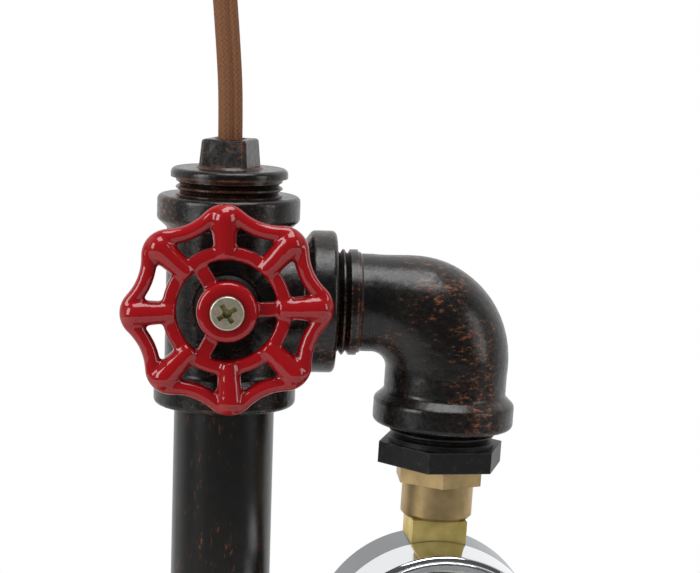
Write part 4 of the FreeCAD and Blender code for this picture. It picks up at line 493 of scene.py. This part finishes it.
def braided_yarn(name, colour):
    """Polyester yarn braided over the cores: two sets of strands cross, each over and under in turn.

    The piece's UV map gives metres along the cord and the share of the way round it.
    """
    material, tree, shader = start_material(name)
    braid = add_node(tree, "ShaderNodeUVMap", uv_map="braid")
    run = add_node(tree, "ShaderNodeSeparateXYZ", {0: braid.outputs[0]})
    crossing, strands = 1.3 * MM, 13.0
    along = reckon(tree, "MULTIPLY", run.outputs["X"], 1 / crossing)
    left, left_arch = strands_one_way(tree, run.outputs["Y"], strands, along)
    right, right_arch = strands_one_way(tree, run.outputs["Y"], -strands, along)
    # One set lies on top at every other crossing.
    odd = reckon(tree, "FLOORED_MODULO", reckon(tree, "ADD", left, right), 2.0)
    over = reckon(tree, "GREATER_THAN", odd, 0.5)
    height = blend_values(tree, over, left_arch, right_arch)
    fibre = noise(tree, object_place(tree), 2600.0, 3.0)
    yarn = reckon(tree, "MULTIPLY_ADD", height, 0.75, fibre)
    # Painted light and shade: the colour is lighter on the crowns of the strands and darker in the grooves
    # between them, with the fibres' own tone over that.
    share = ramp(tree, yarn, 0.45, 1.25)
    set_inputs(tree, shader, {
        "Base Color": blend_colours(tree, share, opaque(colour, 0.82), opaque(colour, 1.18)),
        "Roughness": 0.75, "Specular IOR Level": 0.25, "Sheen Weight": 0.08,
        "Sheen Roughness": 0.4, "Normal": relief(tree, yarn, 0.8, 0.14 * MM)})
    return material


# ---------------------------------------------------------------- operators


class PIPE_LAMP_OT_metal_finishes(bpy.types.Operator):
    """Give the fittings, the column, the base and the brass and steel pieces their finishes."""

    bl_idname = "pipe_lamp.metal_finishes"
    bl_label = "Metal Finishes"

    def execute(self, context):
        colours = context.scene.pipe_lamp_castings
        cast = oil_rubbed_bronze("oil-rubbed bronze on casting", colours, 1.35)
        finish(cast, "upper_tee", "lower_tee", "gauge_elbow", "lamp_elbow", "floor_flange")
        plug = oil_rubbed_bronze("oil-rubbed bronze on plug", colours, 0.7, edge_rub=0.27)
        finish(plug, "top_plug")
        base = oil_rubbed_bronze("oil-rubbed bronze on base plate", colours, 0.7, 1.5)
        finish(base, "base_plate")
        drawn = oil_rubbed_bronze(
            "oil-rubbed bronze on drawn tube", colours, 0.8, 0.25, (700, 700, 230))
        finish(drawn, "column_tube", "lower_tube")
        spun = oil_rubbed_bronze(
            "oil-rubbed bronze on spun brass", colours, 0.6, 0.2, (500, 500, 500))
        finish(spun, "lampholder_cap", "lampholder_skirt")
        black = flat_black_iron("flat black malleable iron")
        finish(black, "gauge_bushing", "lamp_bushing", "gland_nut", "lamp_locknut")
        brass = turned_metal("satin brass bar", linear("bda477"), linear("a38c64"), 0.44, "Z")
        finish(brass, "brass_adaptor", "lamp_screw_shell", "lamp_contact", "bulb_cap",
               "terminal_screws")
        stem = turned_metal("raw brass bar", linear("f3df94"), linear("dcc67b"), 0.62, "X")
        finish(stem, "gauge_stem")
        stamped = turned_metal(
            "stamped brass sheet", linear("bfa066"), linear("a88a52"), 0.3, "X", 0.4)
        finish(stamped, "movement_frame", "bourdon_tube", "sector", "bourdon_link")
        steel = turned_metal("turned steel", linear("a3a3a1"), linear("858584"), 0.3, "Z")
        finish(steel, "flange_screws", "grub_screws", "case_screws", "dimmer_bush", "spindle",
               "lamp_nipple", "pinion", "bulb_contact")
        nickel = turned_metal(
            "nickel-plated brass", linear("c4bfb4"), linear("aea99e"), 0.2, "X")
        finish(nickel, "plug_pins")
        finish(yellow_zinc("yellow zinc plate"), "wheel_screw")
        bezel = turned_metal(
            "satin chrome", linear("e4e6e8"), linear("d6d8da"), 0.24, "Z", 0.3, 0.003)
        finish(bezel, "gauge_bezel")
        finish(seamed_chrome("bright chrome in front of the seam", DRUM_SEAM), "gauge_case")
        return {"FINISHED"}


class PIPE_LAMP_OT_other_finishes(bpy.types.Operator):
    """Give the glass, rubber, plastic, porcelain and painted pieces their finishes."""

    bl_idname = "pipe_lamp.other_finishes"
    bl_label = "Glass, Rubber and Plastic Finishes"

    def execute(self, context):
        finish(clear_glass("flat glass", linear("f4f8f6")), "gauge_glass")
        amber = clear_glass("blown glass, pale amber", linear("fbe3b8"), 0.1)
        finish(amber, "bulb_glass", "bulb_stem")
        wire = turned_metal("drawn filament wire", linear("c98f4a"), linear("9c6a35"), 0.4, "Z")
        finish(wire, "bulb_filament")
        rubber = moulded("moulded rubber", linear("161616"), 0.75, 0.04)
        finish(rubber, "rubber_pad", "glass_seal", "cord_bush")
        white = moulded("matt white paint", linear("ecebe4"), 0.55, 0.01)
        finish(white, "gauge_dial", "dial_spacer")
        finish(moulded("satin black paint", linear("0d0d0d"), 0.35, 0.005), "pointer")
        porcelain = moulded("glazed porcelain", linear("e6e2d6"), 0.12, 0.01, 300.0)
        finish(porcelain, "lampholder_insert")
        finish(moulded("black glass", linear("0b0b0c"), 0.1, 0.005), "bulb_cap_insulator")
        finish(moulded("phenolic resin", linear("1f1a18"), 0.35), "dimmer_body", "wiper")
        finish(moulded("moulded nylon", linear("17130f"), 0.42, 0.05, 900.0), "plug_body")
        finish(moulded("soft vinyl", linear("6f4a30"), 0.4), "lead_wire")
        return {"FINISHED"}


class PIPE_LAMP_OT_handwheel(bpy.types.Operator):
    """Lay a thick coat over the handwheel's casting, so that edges and corners are softly rounded."""

    bl_idname = "pipe_lamp.handwheel"
    bl_label = "Handwheel"

    def execute(self, context):
        sizes = context.scene.pipe_lamp_wheel
        bm = bmesh.new()
        bm.from_mesh(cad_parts["handwheel"].data)
        bmesh.ops.remove_doubles(bm, verts=bm.verts, dist=SAME_CORNER)
        casting = bpy.data.objects.new("handwheel_casting", mesh_from(bm, "handwheel_casting"))
        context.scene.collection.objects.link(casting)
        coat = casting.modifiers.new("coat", "REMESH")
        coat.mode = "VOXEL"
        coat.voxel_size = sizes.voxel
        soft = casting.modifiers.new("soft", "SMOOTH")
        soft.factor = 0.5
        soft.iterations = sizes.coat_softness
        coated = casting.evaluated_get(context.evaluated_depsgraph_get())
        mesh = bpy.data.meshes.new_from_object(coated)
        bpy.data.objects.remove(casting)
        enamel = dipped_enamel("red dipped enamel", sizes.enamel)
        piece = new_piece("handwheel_enamel", mesh, enamel, "handwheel")
        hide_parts("handwheel")
        finish(enamel, "handwheel")
        return {"FINISHED"}


def coil_route():
    """The coil's turns, as points of the cord's own line, in millimetres."""
    points = []
    step = 360 / COIL_POINTS_PER_TURN
    # The smooth line runs inside its points, by this share of the radius.
    spread = 1 / (0.75 + 0.25 * math.cos(math.radians(step)))
    for index in range(int(COIL_WINDING[-1][0] / step) + 1):
        turned = index * step
        for (start, r_start, z_start), (end, r_end, z_end) in zip(COIL_WINDING, COIL_WINDING[1:]):
            if start <= turned <= end:
                share = (turned - start) / (end - start)
                radius = r_start + (r_end - r_start) * share
                height = z_start + (z_end - z_start) * share
                break
        angle = math.radians(turned + COIL_ENTRY)
        points.append((COIL_CENTRE[0] + radius * spread * math.cos(angle),
                       COIL_CENTRE[1] + radius * spread * math.sin(angle), height))
    return points


def tail_route():
    """From the coil to the plug, in millimetres."""
    turn, radius = math.radians(COIL_EXIT), COIL_WINDING[-1][1]
    x = COIL_CENTRE[0] + radius * math.cos(turn)
    y = COIL_CENTRE[1] + radius * math.sin(turn)
    return [(x - along * math.sin(turn), y + along * math.cos(turn), height)
            for along, height in CORD_TAIL]


def smooth_line(route, name):
    """The points of a smooth line through a route in millimetres, as Blender's spline gives them."""
    curve = bpy.data.curves.new(name, "CURVE")
    curve.dimensions = "3D"
    curve.resolution_u = 10
    spline = curve.splines.new("NURBS")
    spline.points.add(len(route) - 1)
    for point, place in zip(spline.points, route):
        point.co = (*(Vector(place) * MM), 1)
    spline.order_u = 3
    spline.use_endpoint_u = True
    holder = bpy.data.objects.new(name, curve)
    line = bpy.data.meshes.new_from_object(holder)
    points = [vertex.co.copy() for vertex in line.vertices]
    bpy.data.objects.remove(holder)
    bpy.data.meshes.remove(line)
    return [point for index, point in enumerate(points)
            if index == 0 or (point - points[index - 1]).length > SAME_POINT]


def frames_along(points, across, twist):
    """A frame at each point of a line, carried along it and twisted by twist(metres along)."""
    frames, along = [], 0.0
    for index, point in enumerate(points):
        ahead = points[min(index + 1, len(points) - 1)] - points[max(index - 1, 0)]
        ahead = ahead.normalized()
        across = (across - ahead * across.dot(ahead)).normalized()
        if index:
            along += (point - points[index - 1]).length
        turn = Matrix.Rotation(twist(along), 3, ahead)
        side = turn @ across
        matrix = Matrix((side, ahead.cross(side), ahead)).transposed().to_4x4()
        matrix.translation = point
        frames.append((matrix, along))
    return frames


class PIPE_LAMP_OT_supply_cord(bpy.types.Operator):
    """Run the two-core textile cord out of the plug, down behind the lamp and into its coil."""

    bl_idname = "pipe_lamp.supply_cord"
    bl_label = "Supply Cord"

    def execute(self, context):
        sizes = context.scene.pipe_lamp_cord
        route = [CORD_EXIT, *CORD_RUN, *coil_route(), *tail_route()]
        points = smooth_line(route, "cord_line")
        across = Vector((math.cos(sizes.lay_angle), math.sin(sizes.lay_angle), 0))

        def twist(along):
            return max(0.0, along - CORD_UNTWISTED) / sizes.twist_pitch * 2 * math.pi

        frames = frames_along(points, across, twist)
        bm = bmesh.new()
        station = bm.verts.layers.float.new("station")
        ring = bmesh.ops.create_circle(bm, segments=CORD_SIDES, radius=1.0)["verts"]
        # Two cores side by side under one braid: each point moves out to the outline of the pair.
        offset, radius = sizes.core_offset, sizes.core_radius
        for vertex in ring:
            x, y = vertex.co.x, vertex.co.y
            reach = offset * abs(x) + math.sqrt(radius ** 2 - (offset * y) ** 2)
            vertex.co = vertex.co * reach
        edges = list(bm.edges)
        bmesh.ops.contextual_create(bm, geom=edges)
        matrix = frames[0][0]
        bmesh.ops.transform(bm, matrix=matrix, verts=ring)
        for now, along in frames[1:]:
            made = bmesh.ops.extrude_edge_only(bm, edges=edges)["geom"]
            ring = [item for item in made if isinstance(item, bmesh.types.BMVert)]
            edges = [item for item in made if isinstance(item, bmesh.types.BMEdge)]
            edges = [edge for edge in edges if edge.verts[0] in ring and edge.verts[1] in ring]
            bmesh.ops.transform(bm, matrix=now @ matrix.inverted(), verts=ring)
            for vertex in ring:
                vertex[station] = along
            matrix = now
        bmesh.ops.contextual_create(bm, geom=edges)
        bmesh.ops.recalc_face_normals(bm, faces=bm.faces)
        self.unroll(bm, station)
        mesh = mesh_from(bm, "supply_cord")
        yarn = braided_yarn("braided polyester yarn", sizes.colour)
        piece = new_piece("supply_cord", mesh, yarn, "root")
        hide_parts("cord_run", "cord_coil", "cord_tail")
        finish(yarn, "cord_run", "cord_coil", "cord_tail")
        return {"FINISHED"}

    @staticmethod
    def unroll(bm, station):
        """Metres along the cord and the share of the way round it, as the piece's UV map."""
        layer = bm.loops.layers.uv.new("braid")
        bm.verts.index_update()
        bm.verts.ensure_lookup_table()
        for face in bm.faces:
            if len(face.verts) != 4:
                continue
            shares = [(loop.vert.index % CORD_SIDES) / CORD_SIDES for loop in face.loops]
            for loop, share in zip(face.loops, shares):
                # Where the last side meets the first, the way round goes on past one.
                if max(shares) - min(shares) > 0.5 and share < 0.5:
                    share += 1
                loop[layer].uv = (loop.vert[station], share)


class PIPE_LAMP_OT_dial_print(bpy.types.Operator):
    """Print the scale's lines and plain numbers on the gauge's dial."""

    bl_idname = "pipe_lamp.dial_print"
    bl_label = "Dial Print"

    def execute(self, context):
        sizes = context.scene.pipe_lamp_dial
        outer = sizes.scale_radius
        bm = bmesh.new()
        self.arc(bm, outer - SCALE_LINE_WIDTH, outer)
        marks = sizes.highest * MARKS_PER_NUMBER
        for mark in range(marks + 1):
            if mark % (MARKS_PER_NUMBER * NUMBERS_PER_FIGURE) == 0:
                mark_size = MARK_AT_FIGURE
            elif mark % MARKS_PER_NUMBER == 0:
                mark_size = MARK_AT_NUMBER
            else:
                mark_size = MARK_BETWEEN
            length, width = (size * MM for size in mark_size)
            turn = Matrix.Rotation(self.angle(mark, marks), 4, "Z")
            spread = Matrix.Translation((outer - length / 2, 0, 0)) @ Matrix.Diagonal((length, width, 1, 1))
            bmesh.ops.create_grid(bm, x_segments=1, y_segments=1, size=0.5, matrix=turn @ spread)
        for number in range(0, sizes.highest + 1, NUMBERS_PER_FIGURE):
            angle = self.angle(number, sizes.highest)
            centre = Vector((math.cos(angle), math.sin(angle), 0)) * (outer - FIGURE_INSET)
            self.figure(bm, str(number), sizes.figure_height, centre)
        bmesh.ops.transform(bm, verts=bm.verts, matrix=dial_place(DIAL_FACE + INK_LIFT))
        ink = moulded("black printing ink", linear("121212"), 0.5, 0.002)
        new_piece("dial_print", mesh_from(bm, "dial_print"), ink, "root", smooth=False)
        return {"FINISHED"}

    @staticmethod
    def angle(count, whole):
        """Where on the scale a count out of the whole lies, in radians."""
        return math.radians(SCALE_START - SCALE_SWEEP * count / whole)

    @staticmethod
    def arc(bm, inner, outer):
        """The scale's line, three quarters of a ring, in steps of 3 degrees."""
        start = Matrix.Rotation(math.radians(SCALE_START), 4, "Z")
        ends = [bm.verts.new(start @ Vector((radius, 0, 0))) for radius in (inner, outer)]
        edge = bm.edges.new(ends)
        bmesh.ops.spin(bm, geom=[*ends, edge], axis=(0, 0, 1), cent=(0, 0, 0),
                       angle=-math.radians(SCALE_SWEEP), steps=SCALE_SWEEP // 3)

    @staticmethod
    def figure(bm, text, height, centre):
        """A number, upright, with its middle at a place."""
        curve = bpy.data.curves.new("figure", "FONT")
        curve.body = text
        curve.size = height * FONT_SIZE
        curve.align_x = "CENTER"
        curve.align_y = "CENTER"
        holder = bpy.data.objects.new("figure", curve)
        mesh = bpy.data.meshes.new_from_object(holder)
        mesh.transform(Matrix.Translation(centre))
        bm.from_mesh(mesh)
        bpy.data.objects.remove(holder)
        bpy.data.meshes.remove(mesh)


def dial_place(out):
    """The dial's own frame, at a distance in front of the gauge's middle."""
    matrix = Matrix((GAUGE_ACROSS, GAUGE_UP, GAUGE_OUT)).transposed().to_4x4()
    matrix.translation = GAUGE_CENTRE + GAUGE_OUT * out
    return matrix


def white_to_the_eye(tree):
    """One for a ray that comes from the camera, a mirror or through glass, else nought."""
    path = add_node(tree, "ShaderNodeLightPath")
    seen = path.outputs["Is Camera Ray"]
    for kind in ("Is Glossy Ray", "Is Transmission Ray"):
        seen = reckon(tree, "MAXIMUM", seen, path.outputs[kind])
    return seen


class PIPE_LAMP_OT_studio(bpy.types.Operator):
    """Set up the floor, the soft lamps, the white surroundings and the camera."""

    bl_idname = "pipe_lamp.studio"
    bl_label = "Studio"

    def execute(self, context):
        self.floor(context)
        self.surroundings(context)
        self.lamps(context)
        self.camera(context)
        context.scene.view_settings.view_transform = "Standard"
        return {"FINISHED"}

    @staticmethod
    def floor(context):
        """A pale floor that fades to white away from the lamp."""
        bm = bmesh.new()
        bmesh.ops.create_circle(bm, cap_ends=True, segments=96, radius=FLOOR_RADIUS)
        floor = bpy.data.objects.new("floor", mesh_from(bm, "floor"))
        context.scene.collection.objects.link(floor)
        material, tree, shader = start_material("painted studio floor")
        set_inputs(tree, shader, {"Base Color": opaque(linear("ececec")), "Roughness": 0.7})
        reach = add_node(tree, "ShaderNodeVectorMath", {0: object_place(tree)}, operation="LENGTH")
        fade = ramp(tree, reach.outputs["Value"], *FLOOR_FADE, curve="SMOOTHSTEP")
        share = reckon(tree, "MULTIPLY", fade, white_to_the_eye(tree))
        white = add_node(tree, "ShaderNodeEmission", {"Color": (1, 1, 1, 1), "Strength": 1.0})
        mixed = add_node(tree, "ShaderNodeMixShader", {
            0: share, 1: shader.outputs[0], 2: white.outputs[0]})
        tree.links.new(mixed.outputs[0], tree.nodes["Material Output"].inputs[0])
        floor.data.materials.append(material)

    @staticmethod
    def surroundings(context):
        """White behind the lamp and dark in front, as gloss mirrors it; plain grey as a light."""
        world = context.scene.world or bpy.data.worlds.new("studio")
        context.scene.world = world
        world.use_nodes = True
        tree = world.node_tree
        path = add_node(tree, "ShaderNodeLightPath")
        generated = add_node(tree, "ShaderNodeTexCoord").outputs["Generated"]
        way = add_node(tree, "ShaderNodeSeparateXYZ", {0: generated})
        mirrored = ramp(tree, way.outputs["Y"], *DARK_TO_WHITE, DARK_FRONT, 1.0, "SMOOTHSTEP")
        lit = blend_values(tree, path.outputs["Is Glossy Ray"], FILL_LIGHT, mirrored)
        through = reckon(
            tree, "MAXIMUM", path.outputs["Is Camera Ray"], path.outputs["Is Transmission Ray"])
        set_inputs(tree, tree.nodes["Background"], {
            "Color": (1, 1, 1, 1), "Strength": blend_values(tree, through, lit, 1.0)})

    @staticmethod
    def lamps(context):
        """A large soft lamp on each side and one above."""
        for name, place, size, power in SOFT_LAMPS:
            light = bpy.data.lights.new(name, "AREA")
            light.shape = "RECTANGLE"
            light.size, light.size_y = size
            light.energy = power
            lamp = bpy.data.objects.new(name, light)
            aim = LAMPS_AIM - Vector(place)
            turn = aim.to_track_quat("-Z", "Y").to_matrix().to_4x4()
            lamp.matrix_world = Matrix.Translation(place) @ turn
            context.scene.collection.objects.link(lamp)

    @staticmethod
    def camera(context):
        """A long lens, close in on the tee, the handwheel and the elbow."""
        camera = bpy.data.cameras.new("camera")
        camera.sensor_fit = "HORIZONTAL"
        camera.sensor_width = SENSOR_WIDTH
        camera.lens = FOCAL_SHARE * SENSOR_WIDTH
        camera.clip_start = 0.01
        holder = bpy.data.objects.new("camera", camera)
        side, down = math.radians(CAMERA_SIDE), math.radians(CAMERA_DOWN)
        ahead = Vector((
            math.sin(side) * math.cos(down), math.cos(side) * math.cos(down), -math.sin(down)))
        place = Matrix.Translation(CAMERA_AIM - ahead * CAMERA_DISTANCE)
        level = ahead.to_track_quat("-Z", "Y").to_matrix().to_4x4()
        holder.matrix_world = place @ level @ Matrix.Rotation(math.radians(CAMERA_ROLL), 4, "Z")
        context.scene.collection.objects.link(holder)
        context.scene.camera = holder


class PIPE_LAMP_PT_sidebar(bpy.types.Panel):
    """The lamp's pieces, with their sizes and colours."""

    bl_idname = "PIPE_LAMP_PT_sidebar"
    bl_label = "Pipe Lamp"
    bl_space_type = "VIEW_3D"
    bl_region_type = "UI"
    bl_category = "Pipe Lamp"

    def draw(self, context):
        layout = self.layout
        for operator in OPERATORS:
            layout.operator(operator.bl_idname)
        for name, group in PROPERTY_GROUPS.items():
            box = layout.box()
            for field in group.__annotations__:
                box.prop(getattr(context.scene, name), field)


PROPERTY_GROUPS = {
    "pipe_lamp_cord": CordSizes,
    "pipe_lamp_castings": CastingSizes,
    "pipe_lamp_wheel": WheelSizes,
    "pipe_lamp_dial": DialSizes,
}
OPERATORS = (
    PIPE_LAMP_OT_metal_finishes, PIPE_LAMP_OT_other_finishes, PIPE_LAMP_OT_handwheel,
    PIPE_LAMP_OT_supply_cord, PIPE_LAMP_OT_dial_print, PIPE_LAMP_OT_studio,
)


def register():
    for name, group in PROPERTY_GROUPS.items():
        bpy.utils.register_class(group)
        setattr(bpy.types.Scene, name, bpy.props.PointerProperty(type=group))
    for operator in OPERATORS:
        bpy.utils.register_class(operator)
    bpy.utils.register_class(PIPE_LAMP_PT_sidebar)


def unregister():
    bpy.utils.unregister_class(PIPE_LAMP_PT_sidebar)
    for operator in reversed(OPERATORS):
        bpy.utils.unregister_class(operator)
    for name, group in reversed(PROPERTY_GROUPS.items()):
        delattr(bpy.types.Scene, name)
        bpy.utils.unregister_class(group)


def main():
    """Make every piece in order."""
    register()
    for operator in OPERATORS:
        group, name = operator.bl_idname.split(".")
        getattr(getattr(bpy.ops, group), name)()


if __name__ == "__main__":
    main()
